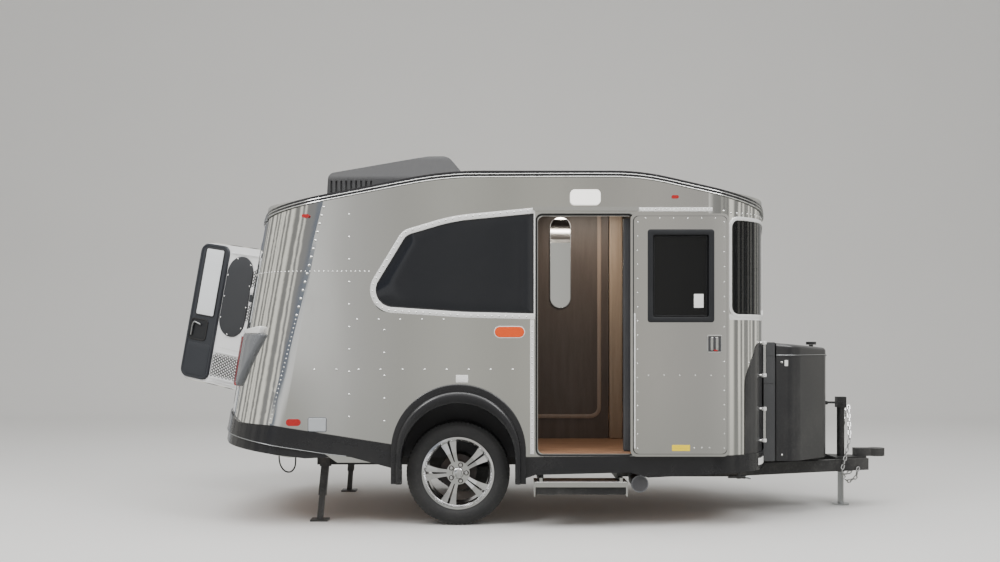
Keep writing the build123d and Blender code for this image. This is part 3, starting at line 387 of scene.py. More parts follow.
class Slot(Enum):
    """Finish of each material slot of the record."""

    ALUMINIUM = ("aluminium_skin", SheetMetal("rolled_aluminium"))
    ROOF = ("roof_skin", SheetMetal("roof_aluminium", (0.74, 0.74, 0.73), (0.58, 0.58, 0.57), (0.3, 0.48),
                                    Grain.ALONG_X))
    BRIGHT = ("bright_trim", SheetMetal("bright_edge", (0.88, 0.88, 0.87), (0.78, 0.78, 0.77),
                                        (0.12, 0.24), Grain.LEVEL, 0.1 * MM))
    BLACK_TRIM = ("black_trim", Moulded("gutter_black", (0.018, 0.018, 0.02), 0.22, coat=0.4))
    BELT = ("belt_black", Moulded("belt_moulding", (0.012, 0.012, 0.014), 0.24, 0.02 * MM, 500, 0.06,
                                  coat=0.2))
    GLASS = ("dark_glass", Glass("smoked_glass"))
    STEEL_BLACK = ("steel_black", Moulded("chassis_paint", (0.02, 0.02, 0.021), 0.42, 0.06 * MM, 240, 0.3))
    STEEL_GREY = ("steel_grey", Moulded("zinc_plate", (0.46, 0.47, 0.48), 0.34, 0.05 * MM, 120, 0.15,
                                        metallic=1.0))
    TYRE = ("tyre_rubber", Moulded("tyre_rubber_worn", (0.02, 0.02, 0.021), 0.62, 0.12 * MM, 420, 0.3,
                                   (0.16, 0.15, 0.14)))
    RIM = ("rim_bright", SheetMetal("machined_alloy", (0.93, 0.93, 0.94), (0.8, 0.8, 0.81), (0.08, 0.22),
                                    Grain.LEVEL, 0.05 * MM))
    DRUM = ("drum_iron", Moulded("cast_iron_drum", (0.05, 0.045, 0.045), 0.6, 0.3 * MM, 90, 0.5,
                                 (0.2, 0.11, 0.06), metallic=0.6))
    RED = ("lens_red", Lens("red_lens", (0.55, 0.015, 0.015)))
    LAMP_GREY = ("lamp_grey", Moulded("lamp_housing", (0.15, 0.157, 0.17), 0.25, 0.02 * MM, 600, 0.1,
                                      coat=0.5))
    LAMP_WHITE = ("lamp_white", Lens("porch_lens", (0.95, 0.93, 0.88), 1.6))
    LINER = ("liner_white", Moulded("hatch_liner_white", (0.90, 0.90, 0.90), 0.45, 0.05 * MM, 700, 0.06))
    PLASTIC = ("plastic_dark", Moulded("dark_moulding", (0.05, 0.05, 0.055), 0.5, 0.08 * MM, 700, 0.15))
    SHROUD = ("shroud_dark", Moulded("roof_unit_shroud", (0.028, 0.028, 0.03), 0.48, 0.1 * MM, 500, 0.3))
    BOX = ("box_black", Moulded("tongue_box_black", (0.022, 0.022, 0.024), 0.3, 0.06 * MM, 260, 0.22,
                                coat=0.3))
    FLOOR = ("floor_wood", Board("cabin_floor_boards", (0.20, 0.10, 0.05), (0.32, 0.17, 0.095),
                                 (1.1, 16, 16)))
    CABINET = ("cabinet_wood", Board("dark_cabinet_board", (0.072, 0.054, 0.044), (0.105, 0.080, 0.066),
                                     (9.0, 9.0, 0.9)))
    CLOTH = ("cushion_cloth", Cloth("seat_weave", (0.20, 0.20, 0.21), (0.36, 0.36, 0.37)))
    MIRROR = ("mirror", Mirror("washroom_mirror"))
    CHAIN = ("chain_steel", Moulded("chain_zinc", (0.5, 0.5, 0.5), 0.3, 0.05 * MM, 200, 0.12,
                                    metallic=1.0))
    BOTTLE = ("bottle_paint", Moulded("bottle_white", (0.75, 0.75, 0.74), 0.3, 0.05 * MM, 160, 0.15,
                                      coat=0.3))
    CORD = ("cord_black", Moulded("cord_jacket", (0.015, 0.015, 0.016), 0.55, 0.05 * MM, 600, 0.15))
    FAIRING = ("fairing_grey", Moulded("fairing_paint", (0.06, 0.062, 0.066), 0.34, 0.05 * MM, 300, 0.2,
                                       coat=0.3))
    GUARD = ("guard_black", Moulded("stone_guard", (0.022, 0.022, 0.024), 0.36, 0.1 * MM, 260, 0.25,
                                    coat=0.2))
    RIVET = ("aluminium_skin", SheetMetal("rivet_head", (0.93, 0.93, 0.92), (0.86, 0.86, 0.85),
                                          (0.15, 0.25), Grain.UPRIGHT, 0.0))
    PALE_TRIM = ("bright_trim", SheetMetal("pale_trim", (0.97, 0.97, 0.96), (0.9, 0.9, 0.89), (0.3, 0.42),
                                           Grain.LEVEL, 0.1 * MM, 0.35))
    PANE = ("dark_glass", Moulded("smoked_pane", (0.013, 0.014, 0.017), 0.05, 0.0, 500, 0.03))
    RUBBER = ("black_trim", Moulded("seal_rubber", (0.014, 0.014, 0.015), 0.5, 0.05 * MM, 500, 0.12))
    FRAME_BLACK = ("plastic_dark", Moulded("window_frame_black", (0.014, 0.015, 0.018), 0.38, 0.05 * MM,
                                           600, 0.04))
    FRAME_GREY = ("plastic_dark", Moulded("hatch_frame_grey", (0.028, 0.031, 0.038), 0.42, 0.06 * MM,
                                          500, 0.08))
    COVER_DARK = ("plastic_dark", Moulded("pill_cover_grey", (0.035, 0.037, 0.042), 0.5, 0.05 * MM, 500,
                                          0.05))
    NET = ("plastic_dark", Moulded("net_black", (0.012, 0.012, 0.013), 0.6, 0.03 * MM, 500, 0.05))
    # The hatch's white panel glows though it is no lamp: painted light, standing in for bright light through it.
    WHITE_PANEL = ("liner_white", Lens("hatch_panel_painted_glow", (0.92, 0.95, 0.97), 0.22))
    LABEL = ("liner_white", Moulded("label_white", (0.93, 0.93, 0.91), 0.5, 0.01 * MM, 500, 0.05))
    COVER = ("liner_white", Moulded("service_cover_pale", (0.42, 0.44, 0.46), 0.3, 0.03 * MM, 400, 0.1,
                                    coat=0.3))
    YELLOW = ("liner_white", Moulded("label_yellow", (0.93, 0.68, 0.01), 0.6, 0.01 * MM, 500, 0.05))
    BADGE = ("liner_white", Moulded("badge_orange", (0.74, 0.075, 0.0), 0.7, 0.02 * MM, 500, 0.03))
    # Step tread: silver metal; the faint red tint in both colours is a painted reflection, the reddish sheen on
    # the tread.
    STEP = ("bright_trim", SheetMetal("step_tread_painted_red_sheen", (0.7, 0.68, 0.68), (0.5, 0.48, 0.48),
                                      (0.28, 0.45), Grain.ALONG_X, 0.1 * MM))
    EDGING = ("cabinet_wood", Board("pale_edging", (0.25, 0.185, 0.145), (0.31, 0.235, 0.185)))
    LIGHT_WOOD = ("cabinet_wood", Board("light_post_wood", (0.28, 0.205, 0.145), (0.38, 0.285, 0.205)))

    def __init__(self, slot: str, finish: object) -> None:
        """Keeps the slot's name and its finish."""
        self.slot = slot
        self.finish = finish

    def material(self) -> bpy.types.Material:
        """The slot's material, built once."""
        return bpy.data.materials.get(self.finish.name) or self.finish.make()


# Shapes


class Surface(Protocol):
    """Anything that puts drawing points (right, up, out) into the caravan's frame."""

    def at(self, points: np.ndarray) -> np.ndarray:
        """Puts points of the drawing onto the surface."""


@dataclass(frozen=True)
class Place:
    """Flat drawing board at one y: right is +X, up is +Z, and out faces the kerb, -Y."""

    y: float

    def at(self, points: np.ndarray) -> np.ndarray:
        """Drawing points in the caravan's frame."""
        return np.column_stack([points[:, 0], self.y - points[:, 2], points[:, 1]])


def linked(name: str, data: bpy.types.ID) -> bpy.types.Object:
    """Makes an object of its data and puts it in the scene."""
    piece = bpy.data.objects.new(name, data)
    bpy.context.scene.collection.objects.link(piece)
    return piece


def mesh_object(name: str, points: np.ndarray, faces: list, finish: bpy.types.Material,
                split: float = 35, both: bool = False, closed: bool = True) -> bpy.types.Object:
    """Makes a smooth-shaded mesh object. A closed one whose volume comes out negative is turned.

    Args:
        name: the object's name.
        points: vertices, one row each.
        faces: lists of vertex numbers.
        finish: its material.
        split: angle in degrees over which an edge stays sharp.
        both: whether a mirror image on the street side is added to it.
        closed: whether it encloses a volume.

    Returns:
        The object, at the origin.
    """
    points = points.reshape(-1, 3)
    if both:
        count = len(points)
        faces = faces + [[vertex + count for vertex in reversed(face)] for face in faces]
        points = np.concatenate([points, points * [1, -1, 1]])
    mesh = bpy.data.meshes.new(name)
    mesh.from_pydata(points.tolist(), [], faces)
    mesh.materials.append(finish)
    mesh.validate()
    shape = bmesh.new()
    shape.from_mesh(mesh)
    if closed and shape.calc_volume(signed=True) < 0:
        mesh.flip_normals()
    shape.free()
    mesh.shade_smooth()
    mesh.set_sharp_from_angle(angle=math.radians(split))
    return linked(name, mesh)


def settle(piece: bpy.types.Object, body: str, slot: Slot, *nodes: str) -> bpy.types.Object:
    """Puts a piece on its body, hides the nodes that it stands for, and logs it."""
    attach(piece, body)
    if nodes:
        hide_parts(*nodes)
    LOG.info("%s rides on %s", piece.name, body)
    return piece


def mesh_piece(name: str, points: np.ndarray, faces: list, slot: Slot, body: str = "caravan",
               stands_for: Sequence[str] = (), **rest: bool | float) -> bpy.types.Object:
    """Makes a mesh object in a slot's finish and settles it.

    Args:
        name: the piece's name.
        points: vertices, one row each.
        faces: lists of vertex numbers.
        slot: its slot and finish.
        body: the body that it rides on.
        stands_for: nodes of the construction that it replaces.
        rest: split and both, as for mesh_object.

    Returns:
        The piece.
    """
    return settle(mesh_object(name, points, faces, slot.material(), **rest), body, slot, *stands_for)


def turns(count: int) -> np.ndarray:
    """Angles evenly spaced round a circle."""
    return np.arange(count) * TURN / count


def unit(vectors: np.ndarray) -> np.ndarray:
    """Vectors divided by their lengths; one that has no length stays as it is."""
    return vectors / np.maximum(np.linalg.norm(vectors, axis=-1, keepdims=True), 1e-9)


def about_y(angle: np.ndarray, radius: np.ndarray, out: np.ndarray) -> np.ndarray:
    """Points round the Y axis: a row for each angle, and a column for each radius and distance out."""
    angle = angle[:, None]
    return np.stack(np.broadcast_arrays(np.cos(angle) * radius, out, np.sin(angle) * radius), axis=-1)


def grid_faces(rows: int, columns: int, wrap_rows: bool = False, wrap_columns: bool = False,
               caps: bool = False) -> list:
    """Quads of a grid of points numbered row by row.

    Args:
        rows: number of rows.
        columns: points in each row.
        wrap_rows: whether the last row joins the first.
        wrap_columns: whether each row's last point joins its first.
        caps: whether the first and last rows are closed by a face.

    Returns:
        Faces as lists of point numbers.
    """
    row = np.arange(rows if wrap_rows else rows - 1)
    column = np.arange(columns if wrap_columns else columns - 1)
    r, c = np.meshgrid(row, column, indexing="ij")
    r_next, c_next = (r + 1) % rows, (c + 1) % columns
    quads = np.stack([r * columns + c, r * columns + c_next, r_next * columns + c_next,
                      r_next * columns + c], axis=-1)
    faces = quads.reshape(-1, 4).tolist()
    if caps:
        faces += [list(range(columns))[::-1], list(range(columns * (rows - 1), columns * rows))]
    return faces


def copies(points: np.ndarray, faces: list, count: int) -> list:
    """Faces of several copies of one small mesh, whose vertices follow each other."""
    size = len(points)
    return [[vertex + size * k for vertex in face] for k in range(count) for face in faces]


def arc(before: Pair, corner: Pair, after: Pair, radius: float, steps: int) -> np.ndarray:
    """Points of the arc tangent to a corner's two sides, with its centre on their bisector."""
    corner = np.array(corner, float)
    back = unit(np.array(before, float) - corner)
    on = unit(np.array(after, float) - corner)
    half = math.acos(np.clip(back @ on, -1, 1)) / 2
    centre = corner + unit(back + on) * radius / math.sin(half)
    start = corner + back * radius / math.tan(half) - centre
    sign = 1 if back[0] * on[1] - back[1] * on[0] < 0 else -1
    angles = sign * np.linspace(0, math.pi - 2 * half, steps + 1)
    cos, sin = np.cos(angles), np.sin(angles)
    return centre + np.stack([start[0] * cos - start[1] * sin, start[0] * sin + start[1] * cos], axis=-1)


def rounded(corners: Sequence[Pair], radii: Sequence[float], steps: int = 6) -> np.ndarray:
    """Closed outline with round corners, each an arc.

    Args:
        corners: corner points, counter-clockwise.
        radii: a radius for each corner.
        steps: segments in each arc.

    Returns:
        Points of the outline.
    """
    return np.concatenate([arc(corners[k - 1], corners[k], corners[(k + 1) % len(corners)], radius, steps)
                           for k, radius in enumerate(radii)])


def rectangle(u: Pair, v: Pair, radius: float, steps: int = 6) -> np.ndarray:
    """Rounded rectangle between limits, counter-clockwise."""
    corners = [(u[0], v[0]), (u[1], v[0]), (u[1], v[1]), (u[0], v[1])]
    return rounded(corners, [radius] * 4, steps)


def inset(outline: np.ndarray, distance: float) -> np.ndarray:
    """Outline moved inwards along its normals, which halve the turn at each point."""
    ahead = unit(np.roll(outline, -1, axis=0) - outline)
    behind = unit(outline - np.roll(outline, 1, axis=0))
    heading = unit(ahead + behind)
    normal = np.stack([-heading[:, 1], heading[:, 0]], axis=-1)
    return outline + normal * distance


def spaced(line: np.ndarray, pitch: float, closed: bool = True) -> np.ndarray:
    """Points evenly spaced along a line, by interpolation over its length."""
    if closed:
        line = np.concatenate([line, line[:1]])
    length = np.concatenate([[0], np.cumsum(np.linalg.norm(np.diff(line, axis=0), axis=1))])
    count = max(2, round(length[-1] / pitch))
    at = np.linspace(0, length[-1], count if closed else count + 1, endpoint=not closed)
    return np.stack([np.interp(at, length, line[:, k]) for k in range(line.shape[1])], axis=-1)


def plate(name: str, outline: np.ndarray, surface: Surface, depth: float, edge: float, slot: Slot,
          base: float = 0.0, **rest: object) -> bpy.types.Object:
    """Plate on a surface, whose front edge is a quarter round.

    Rings of the outline rise up its side and over the edge, and shrink towards its middle.

    Args:
        name: the piece's name.
        outline: its outline in the surface's right and up.
        surface: what it lies on.
        depth: how far its face stands out.
        edge: radius of the front edge.
        slot: its slot and finish.
        base: how far its back stands out.
        rest: body, stands_for and both, as for mesh_piece.

    Returns:
        The piece.
    """
    bend = np.linspace(0, math.pi / 2, 4)
    levels = [(0.0, base), *zip(edge * (1 - np.cos(bend)), depth - edge + edge * np.sin(bend))]
    rings = [np.column_stack([inset(outline, draw), np.full(len(outline), out)]) for draw, out in levels]
    middle = np.append(outline.mean(0), depth)
    rings += [middle + (rings[-1] - middle) * share for share in (0.72, 0.4, 0.12)]
    faces = grid_faces(len(rings), len(outline), wrap_columns=True, caps=True)
    return mesh_piece(name, surface.at(np.concatenate(rings)), faces, slot, **rest)


def ring(name: str, outline: np.ndarray, width: float, surface: Surface, depth: float, edge: float,
         slot: Slot, base: float = 0.0, inner: np.ndarray | None = None,
         **rest: object) -> bpy.types.Object:
    """Raised band along a closed outline: its section goes up, over, down inside and back.

    Where an inner outline is given, the band spans to it, else it is as wide as the width.
    """
    if inner is None:
        inner = inset(outline, width)
    near, low = edge * 0.3, depth - edge * 0.3
    section = [(0, base), (0, depth - edge), (near, low), (edge, depth), (width - edge, depth),
               (width - near, low), (width, depth - edge), (width, base)]
    rings = [np.column_stack([outline + (inner - outline) * (draw / width), np.full(len(outline), out)])
             for draw, out in section]
    faces = grid_faces(len(rings), len(outline), True, True)
    return mesh_piece(name, surface.at(np.concatenate(rings)), faces, slot, **rest)


def lathe(name: str, profile: np.ndarray, centre: Point, slot: Slot, side: int = -1, steps: int = 96,
          **rest: object) -> bpy.types.Object:
    """Piece turned about a line along Y: the closed profile (radius, out) goes round the axis."""
    points = np.array(centre) + about_y(turns(steps), profile[:, 0], profile[:, 1] * side)
    return mesh_piece(name, points, grid_faces(steps, len(profile), True, True), slot, **rest)


def tube(name: str, path: np.ndarray, radius: float, slot: Slot, sides: int = 10, closed: bool = False,
         **rest: object) -> bpy.types.Object:
    """Round bar along a path: each ring lies across the path's heading, turned from a fixed guide."""
    path = np.asarray(path, float)
    heading = np.roll(path, -1, 0) - np.roll(path, 1, 0) if closed else np.gradient(path, axis=0)
    heading = unit(heading)
    guide = np.eye(3)[int(np.argmin(np.abs(heading).mean(0)))]
    first = unit(np.cross(heading, guide))
    second = np.cross(heading, first)
    angle = turns(sides)
    circle = np.cos(angle)[None, :, None] * first[:, None] + np.sin(angle)[None, :, None] * second[:, None]
    points = path[:, None] + circle * radius
    faces = grid_faces(len(path), sides, closed, True, caps=not closed)
    return mesh_piece(name, points, faces, slot, **rest)


def strap(name: str, points: np.ndarray, normal: np.ndarray, width: float, thick: float,
          slot: Slot) -> bpy.types.Object:
    """Flat strip along a line on the skin, with its mirror image on the street side.

    The section's width lies along the cross product of heading and normal.
    """
    across = np.cross(np.gradient(points, axis=0), normal)
    across *= width / 2 / np.linalg.norm(across, axis=1, keepdims=True)
    section = [(-1, -0.5 * MM), (-1, thick), (1, thick), (1, -0.5 * MM)]
    rows = np.stack([points + across * side + normal * out for side, out in section], axis=1)
    faces = grid_faces(len(points), len(section), wrap_columns=True, caps=True)
    return mesh_piece(name, rows, faces, slot, both=True)


# Body surfaces


class End(Enum):
    """End of the body: the sign of the way that it faces along X."""

    REAR = -1
    FRONT = 1


@dataclass(frozen=True)
class BodyPlan:
    """Plan of the body: straight sides, and at each end a wide arc between two round corners."""

    half_width: float = 1.03
    front_x: float = 1.8
    rear_top: Pair = (-1.85, 2.045)
    lean: float = math.radians(10)
    end_radius: float = 2.2
    corner_radius: float = 0.43

    @property
    def half_turn(self) -> float:
        """Angle of half the wide arc."""
        return math.asin((self.half_width - self.corner_radius) / (self.end_radius - self.corner_radius))

    @property
    def lengths(self) -> Pair:
        """Length round half the wide arc, and round a corner."""
        return self.half_turn * self.end_radius, (math.pi / 2 - self.half_turn) * self.corner_radius

    @property
    def reach(self) -> float:
        """Distance along X from the wide arc's centre to a corner's centre."""
        return math.cos(self.half_turn) * (self.end_radius - self.corner_radius)

    def end_x(self, z: np.ndarray, end: End) -> np.ndarray:
        """X of the centre line's outermost point at a height; the rear wall leans."""
        if end is End.FRONT:
            return np.full_like(np.asarray(z, float), self.front_x)
        return self.rear_top[0] - (self.rear_top[1] - z) * math.tan(self.lean)

    def around(self, distance: np.ndarray, z: np.ndarray, proud: float = 0.0,
               end: End = End.REAR) -> tuple[np.ndarray, np.ndarray]:
        """Points and normals on the kerb half, by distance round from the middle of an end.

        The wide arc runs to half_turn, the corner arc follows to a right angle, and past it the
        side is straight.

        Args:
            distance: length round the outline, in metres.
            z: height.
            proud: how far the points stand off the surface.
            end: the end that the distance starts from.

        Returns:
            Points and unit normals.
        """
        distance, z = np.broadcast_arrays(np.asarray(distance, float), np.asarray(z, float))
        wide, corner = self.lengths
        turn = np.where(distance < wide, distance / self.end_radius,
                        self.half_turn + (distance - wide) / self.corner_radius)
        turn = np.minimum(turn, math.pi / 2)
        centre = self.end_x(z, end) - end.value * self.end_radius
        inner = distance < wide
        radius = np.where(inner, self.end_radius, self.corner_radius)
        middle_x = np.where(inner, centre, centre + end.value * self.reach)
        middle_y = np.where(inner, 0, self.half_width - self.corner_radius)
        along = np.maximum(distance - wide - corner, 0)
        x = middle_x + end.value * (np.cos(turn) * radius - along)
        y = -(middle_y + np.sin(turn) * radius)
        lean = math.tan(self.lean) if end is End.REAR else 0.0
        normal = unit(np.stack([end.value * np.cos(turn), -np.sin(turn), np.cos(turn) * lean], axis=-1))
        return np.stack([x, y, z], axis=-1) + normal * proud, normal

    def round_to(self, x: float, z: float, end: End = End.REAR) -> float:
        """Distance round from the middle of an end to a point on the kerb side."""
        wide, corner = self.lengths
        corner_x = float(self.end_x(np.array(z), end)) - end.value * (self.end_radius - self.reach)
        past = (corner_x - x) * end.value
        if past >= 0:
            return wide + corner + past
        turn = math.acos(min(math.cos(self.half_turn), -past / self.corner_radius))
        return wide + (turn - self.half_turn) * self.corner_radius


PLAN = BodyPlan()
KERB_SIDE = Place(-PLAN.half_width)


@dataclass(frozen=True)
class EndSkin:
    """The skin round one end's kerb half as a drawing board: right is the distance round it."""

    end: End

    def at(self, points: np.ndarray) -> np.ndarray:
        """Distance, height and proud become points; the street half mirrors the kerb half."""
        distance = points[:, 0] * (1 if self.end is End.REAR else -1)
        placed, normal = PLAN.around(np.abs(distance), points[:, 1], 0.0, self.end)
        placed = placed + normal * points[:, 2:3]
        placed[:, 1] *= np.where(distance < 0, -1, 1)
        return placed


@dataclass(frozen=True)
class RoofLine:
    """Where the side wall meets the roof trim: three straight runs joined by two large arcs."""

    corners: tuple = ((-2.3, 1.970), (-0.48, 2.324), (0.815, 2.324), (2.0, 2.054))
    radii: Pair = (2.6, 1.6)
    proud: float = 0.010

    def height(self, x: np.ndarray) -> np.ndarray:
        """Height of the line: the runs between, and an arc of each radius at the two corners."""
        arcs = [arc(*self.corners[k:k + 3], radius, 15) for k, radius in enumerate(self.radii)]
        line = np.concatenate([self.corners[:1], *arcs, self.corners[-1:]])
        return np.interp(x, line[:, 0], line[:, 1])

    def edge(self, lift: float, proud: float) -> np.ndarray:
        """Closed path round the body that keeps to the roof line, raised by a lift.

        Height and place depend on each other where the rear leans, so they are found by turns.
        """
        halves = []
        for end in (End.REAR, End.FRONT):
            distance = np.concatenate([np.linspace(0, 1.3, 60), np.linspace(1.34, 2.2, 12)])
            z = np.full_like(distance, 2.2)
            for _ in range(5):
                points, _ = PLAN.around(distance, z, proud, end)
                z = self.height(points[:, 0]) + lift
            points, _ = PLAN.around(distance, z, proud, end)
            points[:, 2] = z
            halves.append(points)
        kerb = np.concatenate([halves[0], halves[1][::-1]])
        street = kerb[-2:0:-1] * [1, -1, 1]
        return np.concatenate([kerb, street])


# Rivets


@dataclass
class Rivets:
    """Domed rivet heads in rows over the skin."""

    radius: float = 7.5 * MM
    height: float = 3.2 * MM
    sides: int = 8
    spots: list = field(default_factory=list)

    def dome(self) -> tuple[np.ndarray, list]:
        """One head: two rings and a crown, radius falling and height rising as a quarter circle."""
        angle = turns(self.sides)
        rings = [(1.0, 0.0), (0.82, 0.62)]
        points = [np.column_stack([np.cos(angle) * r * self.radius, np.sin(angle) * r * self.radius,
                                   np.full(self.sides, h * self.height)]) for r, h in rings]
        points.append(np.array([[0, 0, self.height]]))
        faces = grid_faces(2, self.sides, wrap_columns=True)
        top = self.sides * 2
        faces += [[self.sides + k, self.sides + (k + 1) % self.sides, top] for k in range(self.sides)]
        faces.append(list(range(self.sides))[::-1])
        return np.concatenate(points), faces

    def add(self, points: np.ndarray, normals: np.ndarray, both: bool = False) -> None:
        """Adds heads at points, and their mirror images on the street side where asked."""
        normals = np.broadcast_to(np.asarray(normals, float), points.shape)
        self.spots.append((points, normals))
        if both:
            flip = np.array([1, -1, 1])
            self.spots.append((points * flip, normals * flip))

    def flat(self, drawing: np.ndarray, y: float, both: bool = True) -> None:
        """Heads at (x, z) points on a flat face at one y that faces the kerb."""
        points = np.column_stack([drawing[:, 0], np.full(len(drawing), y), drawing[:, 1]])
        self.add(points, (0, -1, 0), both)

    def row(self, start: Pair, end: Pair, pitch: float, y: float = -PLAN.half_width,
            both: bool = True) -> None:
        """Row between two (x, z) points on a flat face."""
        self.flat(spaced(np.array([start, end]), pitch, closed=False), y, both)

    def level(self, z: float, start: float, last: float, pitch: float, end: End = End.REAR) -> None:
        """Row round the skin at one height, between two distances from the middle of an end."""
        distance = np.linspace(start, last, max(2, round((last - start) / pitch) + 1))
        self.add(*PLAN.around(distance, z, 0.0, end), True)

    def slanted(self, low: Pair, high: Pair, pitch: float, end: End = End.REAR) -> None:
        """Row along a line drawn from the side, given as (x, z) ends."""
        line = spaced(np.array([low, high]), pitch, closed=False)
        distance = np.array([PLAN.round_to(x, z, end) for x, z in line])
        self.add(*PLAN.around(distance, line[:, 1], 0.0, end), True)

    def on(self, drawing: np.ndarray, surface: Surface, out: float = 0.0) -> None:
        """Heads at points of a drawing board, whose normals are found by a small step outwards."""
        low = surface.at(np.column_stack([drawing, np.full(len(drawing), out)]))
        high = surface.at(np.column_stack([drawing, np.full(len(drawing), out + MM)]))
        self.add(low, (high - low) / MM)

    def build(self, name: str, body: str = "caravan", slot: Slot = Slot.RIVET) -> None:
        """Makes one piece of all the heads: each is the dome in its own tangent frame."""
        points = np.concatenate([spot[0] for spot in self.spots])
        normals = np.concatenate([spot[1] for spot in self.spots])
        guide = np.where(np.abs(normals[:, 2:3]) > 0.9, [[1.0, 0, 0]], [[0, 0, 1.0]])
        first = unit(np.cross(guide, normals))
        second = np.cross(normals, first)
        dome, faces = self.dome()
        placed = points[:, None] + dome @ np.stack([first, second, normals], axis=1)
        mesh_piece(name, placed, copies(dome, faces, len(points)), slot, split=80, body=body)


# Skin


@dataclass(frozen=True)
class Skin:
    """Rivet rows, seam strips, bright beads, a painted highlight on the belt's edge, badge, label and cover on the
    body's skin.
    """

    seam_low: Pair = (-1.650, 0.690)
    seam_high: Pair = (-1.290, 2.125)
    badge: tuple = ((-0.160, 0.046), (1.257, 1.337))
    label: tuple = ((-0.412, -0.332), (0.962, 1.012))
    cover: tuple = ((-1.391, -1.275), (0.637, 0.726))
    rows: tuple = (((-1.122, 0.733), (-1.122, 2.077), 0.150), ((-0.888, 0.704), (-0.888, 1.309), 0.151),
                   ((-1.069, 1.380), (-0.494, 1.380), 0.144), ((-1.352, 1.047), (-0.035, 1.047), 0.146))
    dense_z: float = 1.699
    hatch_edge: float = 0.50
    lamp_row: tuple = (1.160, 0.56, 0.95, 0.13)
    front_column: tuple = ((1.365, 0.52), (1.365, 2.10), 0.055)
    front_edge: float = 1.42
    front_rows: Pair = (2.090, 1.392)
    bracket_rows: tuple = (1.089, 0.937, 0.792, 0.640)
    bracket_x: Pair = (1.584, 1.560)
    highlight_line_x: tuple = (-1.12, -1.288, -1.608, -1.99, -2.3)
    edge_line_z: tuple = (0.470, 0.489, 0.538, 0.606, 0.650)
    highlight_line_proud: float = 14.5 * MM

    def rivets(self) -> None:
        """Rows that the panels' seams, stringers and end rings carry."""
        rows = Rivets()
        for start, end, pitch in self.rows:
            rows.row(start, end, pitch)
        rows.level(*self.lamp_row)
        fine = Rivets(radius=5.5 * MM, height=2.4 * MM)
        fine.level(self.dense_z, self.hatch_edge, PLAN.round_to(-0.990, self.dense_z), 0.030)
        middle = tuple(0.5 * (low + high) for low, high in zip(self.seam_low, self.seam_high))
        bold = Rivets(radius=9.5 * MM, height=4.2 * MM, sides=10)
        bold.slanted(middle, self.seam_high, 0.059)
        bold.build("seam_rivets")
        fine.slanted(self.seam_low, middle, 0.030)
        fine.build("stringer_rivets")
        rows.row(*self.front_column)
        for z in self.bracket_rows:
            start, last = (PLAN.round_to(x, z, End.FRONT) for x in self.bracket_x)
            rows.level(z, start, last, 1.0, End.FRONT)
        for z in self.front_rows:
            rows.level(z, 0.02, PLAN.round_to(self.front_edge, z, End.FRONT), 0.048, End.FRONT)
        rows.build("skin_rivets")

    def seam(self) -> None:
        """Thin lap strip along the rear seam: a ribbon that follows the skin on a slanted line."""
        line = spaced(np.array([self.seam_low, self.seam_high]), 0.05, closed=False)
        distance = np.array([PLAN.round_to(x, z) for x, z in line])
        points, normal = PLAN.around(distance, line[:, 1])
        strap("seam_strip", points, normal, 26 * MM, 0.9 * MM, Slot.ALUMINIUM)

    def covers(self) -> None:
        """Badge, label and service cover on the kerb side."""
        badge = rectangle(*self.badge, 0.039)
        plate("side_badge_rim", badge, KERB_SIDE, 2.5 * MM, 1 * MM, Slot.PALE_TRIM)
        plate("side_badge", inset(badge, 5 * MM), KERB_SIDE, 3.6 * MM, 1 * MM, Slot.BADGE, base=2 * MM)
        plate("side_label", rectangle(*self.label, 3 * MM), KERB_SIDE, 0.6 * MM, 0.2 * MM, Slot.LABEL)
        cover = rectangle(*self.cover, 9 * MM)
        plate("service_cover", cover, KERB_SIDE, 9 * MM, 3 * MM, Slot.COVER)
        ring("service_cover_rim", inset(cover, -5 * MM), 8 * MM, KERB_SIDE, 3 * MM, 1 * MM, Slot.LAMP_GREY)

    def gutter(self) -> None:
        """Two bright beads along the roof trim."""
        line = RoofLine()
        for name, lift, radius in (("low", 4 * MM, 3.2 * MM), ("high", 24 * MM, 2.6 * MM)):
            path = line.edge(lift, line.proud + 0.5 * MM)
            tube(f"gutter_bead_{name}", path, radius, Slot.BRIGHT, 8, closed=True)

    def belt_edge_highlight(self) -> None:
        """Bright grey tube along the belt's lower edge round the rear: a painted highlight where that edge catches
        the light.
        """
        x, z = np.array(self.highlight_line_x), np.array(self.edge_line_z)
        along = np.linspace(-1.14, -1.75, 14)
        start = [PLAN.round_to(a, b) for a, b in zip(along, np.interp(-along, -x, z))]
        distance = np.concatenate([start, np.linspace(start[-1], 0, 24)[1:]])
        height = np.full_like(distance, 0.6)
        for _ in range(5):
            points, _ = PLAN.around(distance, height, self.highlight_line_proud)
            height = np.interp(-points[:, 0], -x, z) + 2 * MM
        points, _ = PLAN.around(distance, height, self.highlight_line_proud)
        path = np.concatenate([points, points[-2::-1] * [1, -1, 1]])
        # Painted highlight: the bright grey tube stands in for the light on the belt's lower edge.
        tube("belt_edge_highlight", path, 2.6 * MM, Slot.STEEL_GREY, 8)

    def build(self) -> None:
        """Builds everything on the skin."""
        self.rivets()
        self.seam()
        self.covers()
        self.gutter()
        self.belt_edge_highlight()


